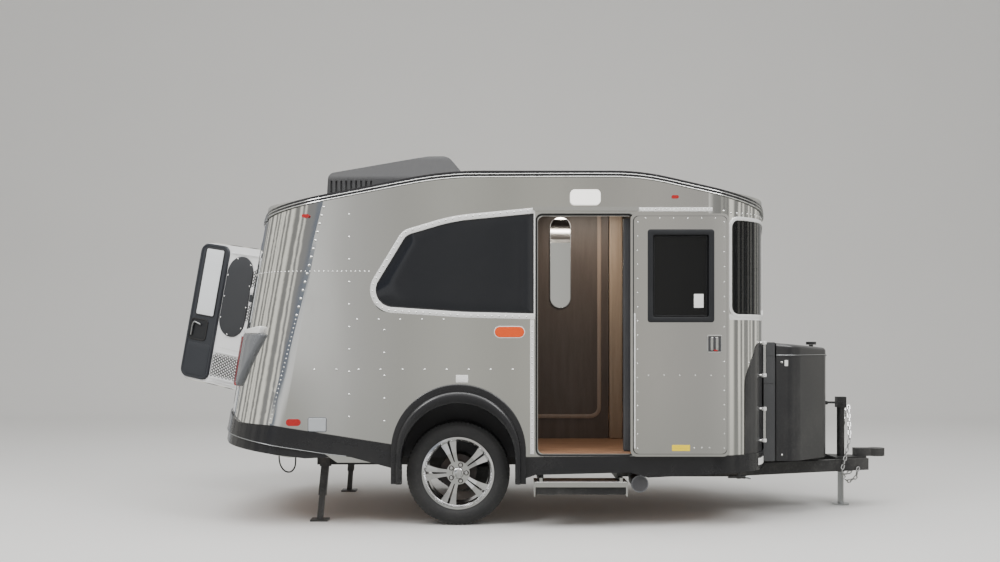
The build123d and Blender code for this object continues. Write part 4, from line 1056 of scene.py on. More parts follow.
@dataclass(frozen=True)
class Windows:
    """Riveted bright frames, dark gaskets and sills of the windows."""

    corners: tuple = ((0.104, 1.419), (0.104, 2.084), (-0.430, 2.032), (-0.742, 1.940), (-1.026, 1.474),
                      (-0.358, 1.430))
    radii: tuple = (0.004, 0.004, 1.200, 0.090, 0.114, 1.500)
    frame: float = 0.037
    last_x: float = 0.113
    front_z: Pair = (1.416, 2.044)
    front_x: float = 1.423
    front_half: float = 0.400
    pillar: float = 0.060
    front_trim: float = 0.024
    front_sill: Pair = (1.378, 1.414)
    sill_reach: float = 1.30

    def side(self) -> None:
        """Side windows: a riveted pale band round one dark pane, cut straight at the doorway."""
        inner = rounded(self.corners, self.radii, 14)
        outer = inset(inner, -self.frame)
        outer[:, 0] = np.minimum(outer[:, 0], self.last_x)
        ring("side_window_frame", outer, self.frame, KERB_SIDE, 8 * MM, 2.5 * MM, Slot.PALE_TRIM, both=True,
             inner=inner, stands_for=("window_frames",))
        plate("side_window_pane", inset(inner, -2 * MM), KERB_SIDE, 3 * MM, 0.8 * MM, Slot.PANE, both=True)
        ring("side_window_gasket", inset(inner, -1 * MM), 9 * MM, KERB_SIDE, 5 * MM, 2 * MM, Slot.RUBBER,
             both=True)
        rivets = Rivets(radius=6 * MM, height=3 * MM)
        middle = spaced(inset(inner, -self.frame * 0.62), 0.046)
        rivets.flat(middle[middle[:, 0] < 0.09], -PLAN.half_width - 8 * MM)
        rivets.build("window_frame_rivets")

    def front(self) -> None:
        """Frames round the middle pane and the two corner panes of the front."""
        skin = EndSkin(End.FRONT)

        def round_to_y(y: float) -> float:
            return math.asin(y / PLAN.end_radius) * PLAN.end_radius
        middle = round_to_y(self.front_half)
        start = round_to_y(self.front_half + self.pillar)
        last = PLAN.round_to(self.front_x, 1.7, End.FRONT)
        for name, across, both in (("front_middle_frame", (-middle, middle), False),
                                   ("front_corner_frame", (-last, -start), True)):
            pane = spaced(rectangle(across, self.front_z, 0.050, 8), 0.02)
            ring(name, inset(pane, -self.front_trim), self.front_trim, skin, 6 * MM, 1.5 * MM,
                 Slot.PALE_TRIM, both=both, inner=pane, stands_for=("window_frames",))

    def build(self) -> None:
        """Builds the frames and the sill."""
        self.side()
        self.front()
        steps = np.linspace(0, self.sill_reach, 60)
        points, normal = PLAN.around(steps, sum(self.front_sill) / 2, 0.0, End.FRONT)
        strap("front_sill_strip", points, normal, self.front_sill[1] - self.front_sill[0], 5 * MM,
              Slot.PALE_TRIM)


# Doorway and door


@dataclass(frozen=True)
class Doorway:
    """Strips, seals and threshold of the entry doorway, and what shows just inside it."""

    strip: tuple = ((0.080, 0.106), (0.487, 1.402))
    header: tuple = ((0.801, 1.290), (2.098, 2.124))
    sill: tuple = ((0.130, 0.779), (0.449, 0.468))
    rows: tuple = (((0.093, 0.51), (0.093, 1.38), 0.042), ((0.815, 2.111), (1.28, 2.111), 0.025))
    cassette: tuple = ((0.706, 0.772), (0.502, 2.058))
    cassette_y: float = -0.938
    post: tuple = ((0.706, 0.806), (0.501, 2.29))
    post_y: float = 0.03
    rebate: tuple = ((0.115, 0.777), (0.469, 2.085))
    rebate_in: float = 0.022
    partition: tuple = ((0.020, 0.646), (0.652, 2.24))
    mirror: tuple = ((0.259, 0.414), (1.487, 2.175))

    def strips(self) -> None:
        """Riveted strip beside the doorway, header strip above the open leaf, and threshold."""
        face = -PLAN.half_width - 3 * MM
        for name, area in (("doorway_strip", self.strip), ("header_strip", self.header)):
            plate(name, rectangle(*area, 2 * MM, 2), KERB_SIDE, 3 * MM, 0.8 * MM, Slot.PALE_TRIM)
        rivets = Rivets(radius=4.5 * MM, height=1.8 * MM)
        for start, end, pitch in self.rows:
            rivets.row(start, end, pitch, face, both=False)
        rivets.build("doorway_rivets")
        plate("threshold", rectangle(*self.sill, 3 * MM, 2), KERB_SIDE, 4 * MM, 1.5 * MM, Slot.BRIGHT)

    def seals(self) -> None:
        """Black rubber seal in the rebate, and the screen's dark cassette at the hinge side."""
        board = Place(-PLAN.half_width + self.rebate_in)
        ring("rebate_seal", inset(rectangle(*self.rebate, 0.045), 1 * MM), 13 * MM, board, 3 * MM, 1.2 * MM,
             Slot.RUBBER)
        cassette = rectangle(*self.cassette, 8 * MM, 3)
        plate("screen_cassette", cassette, Place(self.cassette_y), 0.040, 6 * MM, Slot.PLASTIC)

    def partition_trim(self) -> None:
        """Pale edging round the washroom's door, the mirror's rim and the light timber post."""
        ring("washroom_edging", rectangle(*self.partition, 0.085, 10), 0.030, Place(0), 7 * MM, 2 * MM,
             Slot.EDGING)
        mirror = inset(rectangle(*self.mirror, 0.077, 12), -2 * MM)
        ring("mirror_rim", mirror, 5 * MM, Place(-6 * MM), 2.5 * MM, 0.8 * MM, Slot.STEEL_GREY,
             base=-5 * MM)
        post = rectangle(*self.post, 5 * MM, 3)
        plate("doorway_post", post, Place(self.post_y), 0.05, 6 * MM, Slot.LIGHT_WOOD)

    def build(self) -> None:
        """Builds the doorway's pieces."""
        self.strips()
        self.seals()
        self.partition_trim()


@dataclass(frozen=True)
class EntryDoor:
    """Details of the open leaf's inner face."""

    face_y: float = -1.088
    window: tuple = ((0.852, 1.291), (1.360, 1.973))
    frame: float = 0.036
    core: tuple = ((0.762, 1.374), (0.494, 2.060))
    latch: tuple = ((1.242, 1.342), (1.158, 1.277))
    glass_label: tuple = ((1.161, 1.224), (1.457, 1.548))
    foot_label: tuple = ((1.012, 1.131), (0.513, 0.553))
    edge_strip: tuple = ((0.763, 0.772), (0.53, 1.42))
    rows: tuple = (((0.786, 0.530), (0.786, 2.02), 0.093), ((1.357, 0.530), (1.357, 1.100), 0.093),
                   ((1.357, 1.330), (1.357, 2.02), 0.093), ((0.858, 1.010), (1.270, 1.010), 0.103),
                   ((1.16, 0.533), (1.26, 0.533), 0.100), ((0.84, 2.045), (1.30, 2.045), 0.093))

    @property
    def board(self) -> Place:
        """Drawing board on the leaf's inner face."""
        return Place(self.face_y)

    @property
    def flange(self) -> Place:
        """Drawing board on the leaf's flange and glass, 22 mm behind its inner face."""
        return Place(self.face_y + 22 * MM)

    def window_frame(self) -> None:
        """Black frame round the window, with a thin inner bead and a blank label on the glass."""
        (left, right), (low, high) = self.window
        width = self.frame
        outer = rectangle(*self.window, 0.018, 6)
        inner = rectangle((left + width, right - width), (low + width, high - width), 0.012, 6)
        ring("leaf_window_frame", outer, width, self.board, 5 * MM, 2 * MM, Slot.FRAME_BLACK, base=-16 * MM,
             inner=inner, body="entry_door")
        ring("leaf_window_bead", inset(inner, 6 * MM), 5 * MM, self.flange, 4 * MM, 1 * MM,
             Slot.FRAME_BLACK, body="entry_door")
        plate("leaf_glass_label", rectangle(*self.glass_label, 2 * MM, 2), self.flange, 0.6 * MM, 0.2 * MM,
              Slot.LABEL, body="entry_door")

    def rivets(self) -> None:
        """Columns at both edges, and rows below the window, at the foot and at the head."""
        rivets = Rivets(radius=4.5 * MM, height=1.8 * MM)
        for start, end, pitch in self.rows:
            rivets.row(start, end, pitch, self.face_y, both=False)
        rivets.build("leaf_rivets", "entry_door")

    def edges(self) -> None:
        """Rubber seal round the leaf's core, bright edge strip, and a yellow label left blank."""
        ring("leaf_seal", inset(rectangle(*self.core, 0.028, 6), -3 * MM), 4.5 * MM, self.flange, 17 * MM,
             1.5 * MM, Slot.RUBBER, body="entry_door")
        plate("leaf_edge_strip", rectangle(*self.edge_strip, 2 * MM, 2), self.board, 2.5 * MM, 0.8 * MM,
              Slot.PALE_TRIM, body="entry_door")
        plate("leaf_label", rectangle(*self.foot_label, 3 * MM, 2), self.board, 0.6 * MM, 0.2 * MM,
              Slot.YELLOW, body="entry_door")

    def latch_set(self) -> None:
        """Latch: bright bezel round a dark well, two upright pulls and a small red tab."""
        rest = {"body": "entry_door", "stands_for": ("door_latch",)}
        outline = rectangle(*self.latch, 0.012, 5)
        (left, _), (low, high) = self.latch
        ring("door_latch_bezel", outline, 9 * MM, self.board, 5.5 * MM, 2 * MM, Slot.BRIGHT, base=-1 * MM,
             **rest)
        for k, start in enumerate((left + 0.024, left + 0.058)):
            pull = rectangle((start, start + 0.018), (low + 0.018, high - 0.014), 5 * MM, 3)
            plate(f"door_latch_pull_{k + 1}", pull, self.board, 5.5 * MM, 2.5 * MM, Slot.BRIGHT, **rest)
        plate("door_latch_well", inset(outline, 6 * MM), self.board, 1.2 * MM, 0.4 * MM, Slot.PLASTIC,
              **rest)
        tab = rectangle((left + 0.046, left + 0.070), (low + 0.012, low + 0.022), 2 * MM, 2)
        plate("door_latch_tab", tab, self.board, 5.8 * MM, 1 * MM, Slot.RED, base=1 * MM, **rest)

    def build(self) -> None:
        """Builds the leaf's details."""
        self.window_frame()
        self.rivets()
        self.edges()
        self.latch_set()


# Rear hatch


class Face(Enum):
    """Side of the hatch, and the sign of its drawing board's right along Y."""

    INSIDE = 1
    OUTSIDE = -1


@dataclass(frozen=True)
class HatchBoard:
    """Drawing board on the hatch or its opening: right runs across, up along the leaning wall."""

    face: Face
    opened: bool
    depth: float
    bottom_z: float = 0.801

    def at(self, points: np.ndarray) -> np.ndarray:
        """Puts drawing points on the curved wall, and swings them open where asked.

        The wall's distance from its chord is the radius less the square root of its square less
        y squared, and the swing turns each point about the hinge's line.
        """
        y = points[:, 0] * self.face.value
        up = points[:, 1]
        out = points[:, 2] + self.depth
        inward = out if self.face is Face.INSIDE else -out
        radius = PLAN.end_radius - inward
        sag = PLAN.end_radius - np.sqrt(radius ** 2 - y ** 2)
        cos, sin = math.cos(PLAN.lean), math.sin(PLAN.lean)
        base = float(PLAN.end_x(np.array(self.bottom_z), End.REAR))
        x = base + sag * cos * cos + up * sin
        z = self.bottom_z - sag * cos * sin + up * cos
        placed = np.column_stack([x, y, z])
        return self.swung(placed) if self.opened else placed

    @staticmethod
    def swung(points: np.ndarray) -> np.ndarray:
        """Turns points about the hatch's hinge line from shut to open."""
        joint = JOINTS["rear_hatch_swing"]
        axis = np.array(joint["axis"]) / np.linalg.norm(joint["axis"])
        turn = -math.radians(joint["range_deg"][1])
        arm = points - np.array(joint["pos_m"])
        spun = arm * math.cos(turn) + np.cross(axis, arm) * math.sin(turn)
        return np.array(joint["pos_m"]) + spun + np.outer(arm @ axis, axis) * (1 - math.cos(turn))


@dataclass(frozen=True)
class Hatch:
    """What is on the hatch's inner face, and the seal round its opening."""

    wall: float = 0.040
    band_depth: float = 15.5 * MM
    band: tuple = ((-0.426, -0.138), (0.0225, 1.147))
    window: tuple = ((-0.366, -0.190), (0.555, 1.105))
    latch: tuple = ((-0.402, -0.226), (0.338, 0.519))
    lower: tuple = ((-0.405, -0.165), (0.045, 0.315))
    cover: tuple = ((-0.128, 0.162), (0.417, 1.080))
    pocket: tuple = ((-0.132, 0.300), (0.068, 0.262))
    nets: tuple = (((0.160, 0.290), (0.850, 1.000)), ((0.160, 0.290), (0.566, 0.708)))
    clips: tuple = (((0.166, 0.262), (0.800, 0.840)), ((0.172, 0.290), (0.726, 0.786)))
    cell: float = 14.5 * MM
    lever: tuple = ((-0.372, 0.372, 12 * MM), (-0.372, 0.455, 13 * MM), (-0.366, 0.478, 14 * MM),
                    (-0.350, 0.486, 15 * MM), (-0.292, 0.470, 13 * MM))
    gap: tuple = ((-0.447, 0.447), (-0.007, 1.172))

    def board(self, proud: float = 0.0) -> HatchBoard:
        """Drawing board on the open hatch's inner face, standing proud of the liner."""
        return HatchBoard(Face.INSIDE, True, self.wall + proud)

    def net(self, name: str, area: tuple, proud: float) -> None:
        """Honeycomb net: one open hexagon at each point of a staggered grid.

        Each cell has an outer and an inner hexagon at two heights, joined into a ring.
        """
        (left, right), (low, high) = area
        angle = turns(6)
        hexagon = np.column_stack([np.cos(angle), np.sin(angle)])
        size = self.cell
        section = [(size * 1.02, 0.0), (size * 1.02, 2 * MM), (size * 0.70, 2 * MM), (size * 0.70, 0.0)]
        cell = np.concatenate([np.column_stack([hexagon * scale, np.full(6, out)])
                               for scale, out in section])
        step_x, step_y = size * 1.5, size * math.sqrt(3)
        columns = np.arange(left + size, right - size, step_x)
        rows = np.arange(low + size, high - size, step_y)
        x, y = np.meshgrid(columns, rows)
        y = y + (np.arange(len(columns)) % 2)[None] * step_y / 2
        centres = np.column_stack([x.ravel(), y.ravel(), np.zeros(x.size)])
        faces = grid_faces(4, 6, True, True)
        points = (centres[:, None] + cell[None]).reshape(-1, 3)
        mesh_piece(name, self.board(proud).at(points), copies(cell, faces, len(centres)), Slot.NET,
                   body="rear_hatch")

    def frame(self) -> None:
        """Dark band with its raised rim, white window panel that glows with painted light, latch well with lever,
        lower panel.
        """
        rest = {"base": -1 * MM, "body": "rear_hatch"}
        face = self.board(self.band_depth)
        band = rectangle(*self.band, 0.07, 8)
        window = rectangle(*self.window, 0.012, 4)
        latch = rectangle(*self.latch, 0.03, 6)
        plate("hatch_band_panel", band, self.board(), self.band_depth, 3 * MM, Slot.FRAME_GREY, base=1 * MM,
              body="rear_hatch")
        ring("hatch_band_rim", inset(band, 4 * MM), 0.016, face, 5 * MM, 2 * MM, Slot.FRAME_GREY, **rest)
        # White panel whose glow is painted light.
        plate("hatch_white_panel_painted_glow", window, face, 3 * MM, 1 * MM, Slot.WHITE_PANEL, **rest)
        ring("hatch_panel_rim", inset(window, -0.010), 9 * MM, face, 5 * MM, 2 * MM, Slot.RUBBER, **rest)
        ring("hatch_latch_rim", latch, 0.012, face, 6 * MM, 2 * MM, Slot.RUBBER, **rest)
        plate("hatch_latch_well", inset(latch, 0.010), face, 1.2 * MM, 0.4 * MM, Slot.FRAME_BLACK, **rest)
        plate("hatch_lower_panel", rectangle(*self.lower, 0.03, 6), face, 2.5 * MM, 1 * MM, Slot.FRAME_GREY,
              **rest)
        route = spaced(np.array(self.lever), 0.012, closed=False)
        tube("hatch_lever", face.at(route), 7 * MM, Slot.STEEL_GREY, 12, body="rear_hatch")

    def cover_details(self) -> None:
        """Pill cover over the window, a little proud of its flange, with bright studs round it."""
        outline = rectangle(*self.cover, 0.142, 12)
        plate("hatch_pill_cover", inset(outline, 1 * MM), self.board(), 0.0105, 3 * MM, Slot.COVER_DARK,
              base=0.006, body="rear_hatch")
        studs = Rivets(radius=7 * MM, height=5 * MM, sides=12)
        studs.on(spaced(inset(outline, 0.012), 0.172), self.board(), 0.0100)
        studs.build("hatch_cover_studs", "rear_hatch", Slot.BRIGHT)

    def pocket_details(self) -> None:
        """White strip and ribs round the net pocket, the nets and clips at the hinge edge."""
        (left, right), (low, high) = self.pocket
        rest = {"base": -1 * MM, "body": "rear_hatch"}
        bars = [("hatch_pocket_strip", (left, right - 0.012), (high + 0.006, high + 0.062), 7 * MM),
                ("hatch_pocket_rail", (left, right + 0.06), (low - 0.018, low - 0.008), 6 * MM),
                ("hatch_foot_rail", (left, right + 0.06), (low - 0.040, low - 0.030), 6 * MM),
                ("hatch_head_rail", (-0.12, 0.30), (1.092, 1.102), 6 * MM)]
        for name, across, up, depth in bars:
            plate(name, rectangle(across, up, 3 * MM, 3), self.board(), depth, 2 * MM, Slot.LINER, **rest)
        for k, (area, slot) in enumerate(zip(self.clips, (Slot.LINER, Slot.FRAME_GREY))):
            plate(f"hatch_clip_{k + 1}", rectangle(*area, 5 * MM, 3), self.board(), 9 * MM, 2 * MM, slot,
                  **rest)
        self.net("hatch_pocket_net", self.pocket, 0.5 * MM)
        for k, area in enumerate(self.nets):
            self.net(f"hatch_side_net_{k + 1}", area, 0.5 * MM)

    def opening(self) -> None:
        """Rubber seal and riveted flange round the hatch opening in the rear wall."""
        board = HatchBoard(Face.OUTSIDE, False, 0.0)
        edge = spaced(rectangle(*self.gap, 0.097, 10), 0.03)
        ring("opening_seal", inset(edge, -0.018), 0.016, board, 4 * MM, 1.5 * MM, Slot.RUBBER, base=-1 * MM)
        rivets = Rivets(radius=5 * MM, height=2 * MM)
        rivets.on(spaced(inset(edge, -0.036), 0.05), board)
        rivets.build("opening_rivets")

    def build(self) -> None:
        """Builds the hatch's details."""
        self.frame()
        self.cover_details()
        self.pocket_details()
        self.opening()


# Lamps


@dataclass(frozen=True)
class TailLamps:
    """Wedge-shaped tail lamp housings with bright fins over them."""

    top_z: float = 1.284
    foot: tuple = ((0.762, 0.955), (0.800, 0.925), (0.845, 0.962))
    last: float = 1.035

    def build(self) -> None:
        """Builds a housing and a fin on each side: both grow taller towards the side wall."""
        skin = EndSkin(End.REAR)
        outline = rounded([*self.foot, (self.last, self.top_z), (self.foot[0][0], self.top_z)],
                          [4 * MM, 12 * MM, 30 * MM, 8 * MM, 3 * MM], 5)
        plate("tail_lamp_housing", spaced(outline, 0.012), skin, 0.034, 10 * MM, Slot.LAMP_GREY, both=True,
              stands_for=("tail_lamp_bodies",))
        wide, corner = PLAN.lengths
        start = wide + 0.004
        end = wide + corner * 0.46
        outline = rounded([(start, self.top_z), (end, self.top_z), (end + 0.012, self.top_z + 0.054),
                           (start, self.top_z + 0.022)], [3 * MM, 8 * MM, 14 * MM, 3 * MM], 4)
        plate("tail_lamp_fin", spaced(outline, 0.012), skin, 0.036, 8 * MM, Slot.PALE_TRIM, both=True)


# Wheels


@dataclass(frozen=True)
class WheelArches:
    """Flared wheel arches: a flat step on the wall, and a round bead over the tyre."""

    centre_x: float = -0.395
    foot_z: float = 0.292
    lip: Pair = (0.375, 0.450)
    bead: Pair = (0.413, 0.490)
    step: Pair = (0.447, 0.505)
    step_y: float = -1.066
    crown_y: float = -1.0935
    wall_y: float = -1.028

    def arch(self, radius: float, centre_z: float) -> np.ndarray:
        """Half circle on straight legs, from one foot to the other, in x and z."""
        leg = np.linspace(self.foot_z, centre_z, 6)[:-1]
        turn = np.linspace(0, math.pi, 57)
        x = np.concatenate([np.full(5, -radius), -radius * np.cos(turn), np.full(5, radius)])
        z = np.concatenate([leg, centre_z + radius * np.sin(turn), leg[::-1]])
        return np.column_stack([self.centre_x + x, z])

    def build(self) -> None:
        """Builds both flares: the section runs over half an ellipse from lip to step, then outwards.

        Each row of points is one of the three arches, or lies between two of them by a share.
        """
        lip, bead, step = (self.arch(*size) for size in (self.lip, self.bead, self.step))
        rows = [(lip, self.wall_y)]
        for turn in np.linspace(0, math.pi, 17):
            rise = (self.crown_y - self.step_y) * math.sin(turn) ** 0.8
            rows.append((lip + (bead - lip) * (1 - math.cos(turn)) / 2, self.step_y + rise))
        for turn in np.linspace(0, math.pi / 2, 5):
            share = 0.75 + 0.25 * math.sin(turn)
            rows.append((bead + (step - bead) * share, self.step_y + 6 * MM * (1 - math.cos(turn))))
        rows.append((step, self.wall_y))
        rows = [np.insert(line, 1, y, axis=1) for line, y in rows]
        points = np.stack(rows, axis=1)
        faces = grid_faces(len(lip), len(rows), wrap_columns=True, caps=True)
        mesh_piece("wheel_arch_flares", points, faces, Slot.BELT, both=True, stands_for=("wheel_flares",))


@dataclass(frozen=True)
class Wheel:
    """Tyre with grooved tread, lug nuts, cap and rim bolts on one wheel."""

    side: str
    tread_depth: float = 7 * MM
    slots: int = 76
    steps_per_slot: int = 6
    face_out: float = 0.0785
    nut_circle: float = 0.056
    bolt_circle: float = 0.2215
    bolt_out: float = 0.0945
    cap_radius: float = 36.5 * MM
    bead_radius: float = 0.243
    wall_lines: Pair = (0.262, 0.318)
    grooves: tuple = (-0.5, -0.17, 0.17, 0.5)

    @property
    def out(self) -> int:
        """Sign of the way that the wheel faces."""
        return -1 if self.side == "kerb" else 1

    @property
    def body(self) -> str:
        """Body that the wheel's pieces ride on."""
        return f"wheel_{self.side}"

    @property
    def centre(self) -> Point:
        """Middle of the wheel, from its tyre's box."""
        low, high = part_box(f"tyre_{self.side}")
        return tuple((low + high) / 2)

    def section(self) -> np.ndarray:
        """Tyre section (radius, out) from the outer bead over the tread to the inner bead and back.

        The sidewall bulges as half a sine between bead and shoulder.
        """
        low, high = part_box(f"tyre_{self.side}")
        top, half = (high.z - low.z) / 2, (high.y - low.y) / 2
        bead, shoulder = self.bead_radius, top - 14 * MM
        rise = np.linspace(0, 1, 15)
        wall_r = bead + (shoulder - bead) * rise
        wall_out = half - 16 * MM + 15 * MM * np.sin(rise * math.pi) ** 0.8 - 5 * MM * rise ** 3
        edge_turn = np.linspace(0, 1, 6)[1:]
        edge_r = shoulder + (top - 2 * MM - shoulder) * np.sin(edge_turn * math.pi / 2)
        edge_out = wall_out[-1] - 18 * MM * (1 - np.cos(edge_turn * math.pi / 2))
        flat_out = np.linspace(edge_out[-1], 0, 14)[1:]
        flat_r = top - 2 * MM * (flat_out / edge_out[-1]) ** 2
        outer = np.column_stack([np.concatenate([wall_r, edge_r, flat_r]),
                                 np.concatenate([wall_out, edge_out, flat_out])])
        other = outer[-2::-1] * [1, -1]
        inner_half = half - 26 * MM
        roof = shoulder - 12 * MM
        inside = [(bead, -inner_half), (roof, -inner_half), (roof, inner_half), (bead, inner_half)]
        return np.concatenate([outer, other, inside])

    def tyre(self) -> None:
        """Tyre whose tread is lowered in four round grooves and in cross slots at the shoulders."""
        section = self.section()
        radius, out = section[:, 0], section[:, 1]
        steps = self.slots * self.steps_per_slot
        top = radius.max()
        half = out.max()
        tread = np.clip((radius - (top - 16 * MM)) / (7 * MM), 0, 1)
        groove = sum(np.exp(-((out - place * half) / (4 * MM)) ** 4) for place in self.grooves)
        slot = np.where(np.arange(steps) % self.steps_per_slot < 2, 1.0, 0.0)
        shoulder = np.clip((np.abs(out) / half - 0.42) / 0.1, 0, 1)
        drop = np.maximum(groove[None], slot[:, None] * shoulder[None] * 0.7) * tread[None]
        beads = sum(np.exp(-((radius - place) / (2.0 * MM)) ** 2) for place in self.wall_lines)
        reach = radius[None] - drop * self.tread_depth
        push = out + np.sign(out) * 0.9 * MM * beads
        points = about_y(turns(steps), reach, push * self.out)
        faces = grid_faces(steps, len(section), True, True)
        mesh_piece(f"tyre_tread_{self.side}", np.array(self.centre) + points, faces, Slot.TYRE,
                   body=self.body, stands_for=(f"tyre_{self.side}",))

    def stub(self, radius: float, height: float, sides: int) -> tuple[np.ndarray, list]:
        """Small nut or bolt head along out: a prism with a chamfer, closed by a crown."""
        levels = np.array([(1.0, 0.0), (1.0, 0.72), (0.82, 1.0), (0.45, 1.0), (0.40, 0.72)])
        points = about_y(turns(sides), levels[:, 0] * radius, levels[:, 1] * height * self.out)
        faces = grid_faces(len(levels), sides, wrap_columns=True, caps=True)
        return points.swapaxes(0, 1).reshape(-1, 3), faces

    def circle(self, name: str, stub: tuple, count: int, radius: float, out: float, slot: Slot) -> None:
        """Stubs evenly spaced on a circle about the wheel's axis."""
        shape, faces = stub
        centres = about_y(turns(count), radius, out * self.out)
        points = np.array(self.centre) + centres + shape[None]
        mesh_piece(f"{name}_{self.side}", points, copies(shape, faces, count), slot, body=self.body)

    def build(self) -> None:
        """Builds the wheel's pieces."""
        self.tyre()
        nuts = self.stub(12.5 * MM, 17 * MM, 6)
        seats = self.stub(17 * MM, 2.5 * MM, 20)
        bolts = self.stub(3.6 * MM, 4 * MM, 6)
        self.circle("lug_nuts", nuts, 5, self.nut_circle, self.face_out, Slot.RIM)
        self.circle("lug_seats", seats, 5, self.nut_circle, self.face_out - 0.3 * MM, Slot.DRUM)
        self.circle("rim_bolts", bolts, 30, self.bolt_circle, self.bolt_out, Slot.RIM)
        turn = np.linspace(0, math.pi / 2, 8)
        face, middle = self.face_out, 0.5 * MM
        crown = np.column_stack([self.cap_radius * np.cos(turn), face + 8 * MM + 11 * MM * np.sin(turn)])
        cap = np.concatenate([[[self.cap_radius, face - 0.5 * MM]], crown[:-1],
                              [[middle, crown[-1, 1]], [middle, face - 0.5 * MM]]])
        lathe(f"wheel_cap_{self.side}", cap, self.centre, Slot.RIM, self.out, 48, body=self.body)


# Step, tongue and underside


@dataclass(frozen=True)
class StepTread:
    """Ribbed tread, kick panel and round nose on the sliding step."""

    top: float = 0.308
    across: Pair = (0.118, 0.710)
    reach: Pair = (-1.074, -0.876)
    ribs: int = 9
    kick: tuple = ((0.116, 0.712), (0.224, 0.284))
    kick_y: float = -1.060
    nose_y: float = -1.0870
    nose_z: float = 0.3035

    def build(self) -> None:
        """Builds the tread, whose height is a row of round ribs along the step."""
        x = np.linspace(*self.across, 4)
        v = np.linspace(0, 1, self.ribs * 8 + 1)
        y = self.reach[0] + (self.reach[1] - self.reach[0]) * v
        lift = 0.4 * MM + 1.9 * MM * np.abs(np.sin(v * math.pi * self.ribs))
        top = np.stack(np.broadcast_arrays(x[:, None], y[None], self.top + lift[None]), axis=-1)
        under = np.stack(np.broadcast_arrays(x[:, None], y[None], self.top - 1 * MM), axis=-1)
        rows = np.concatenate([top, under[:, ::-1]], axis=1)
        faces = grid_faces(len(x), rows.shape[1], wrap_columns=True, caps=True)
        mesh_piece("step_tread", rows, faces, Slot.STEP, split=60, body="step")
        kick = rectangle(*self.kick, 4 * MM, 3)
        board = Place(self.kick_y)
        plate("step_kick_panel", kick, board, 0.014, 3 * MM, Slot.STEEL_BLACK, body="step")
        nose = np.array([(end, self.nose_y, self.nose_z) for end in (x[0] - 6 * MM, x[-1] + 6 * MM)])
        tube("step_nose", spaced(nose, 0.1, closed=False), 6 * MM, Slot.PALE_TRIM, 16, body="step")


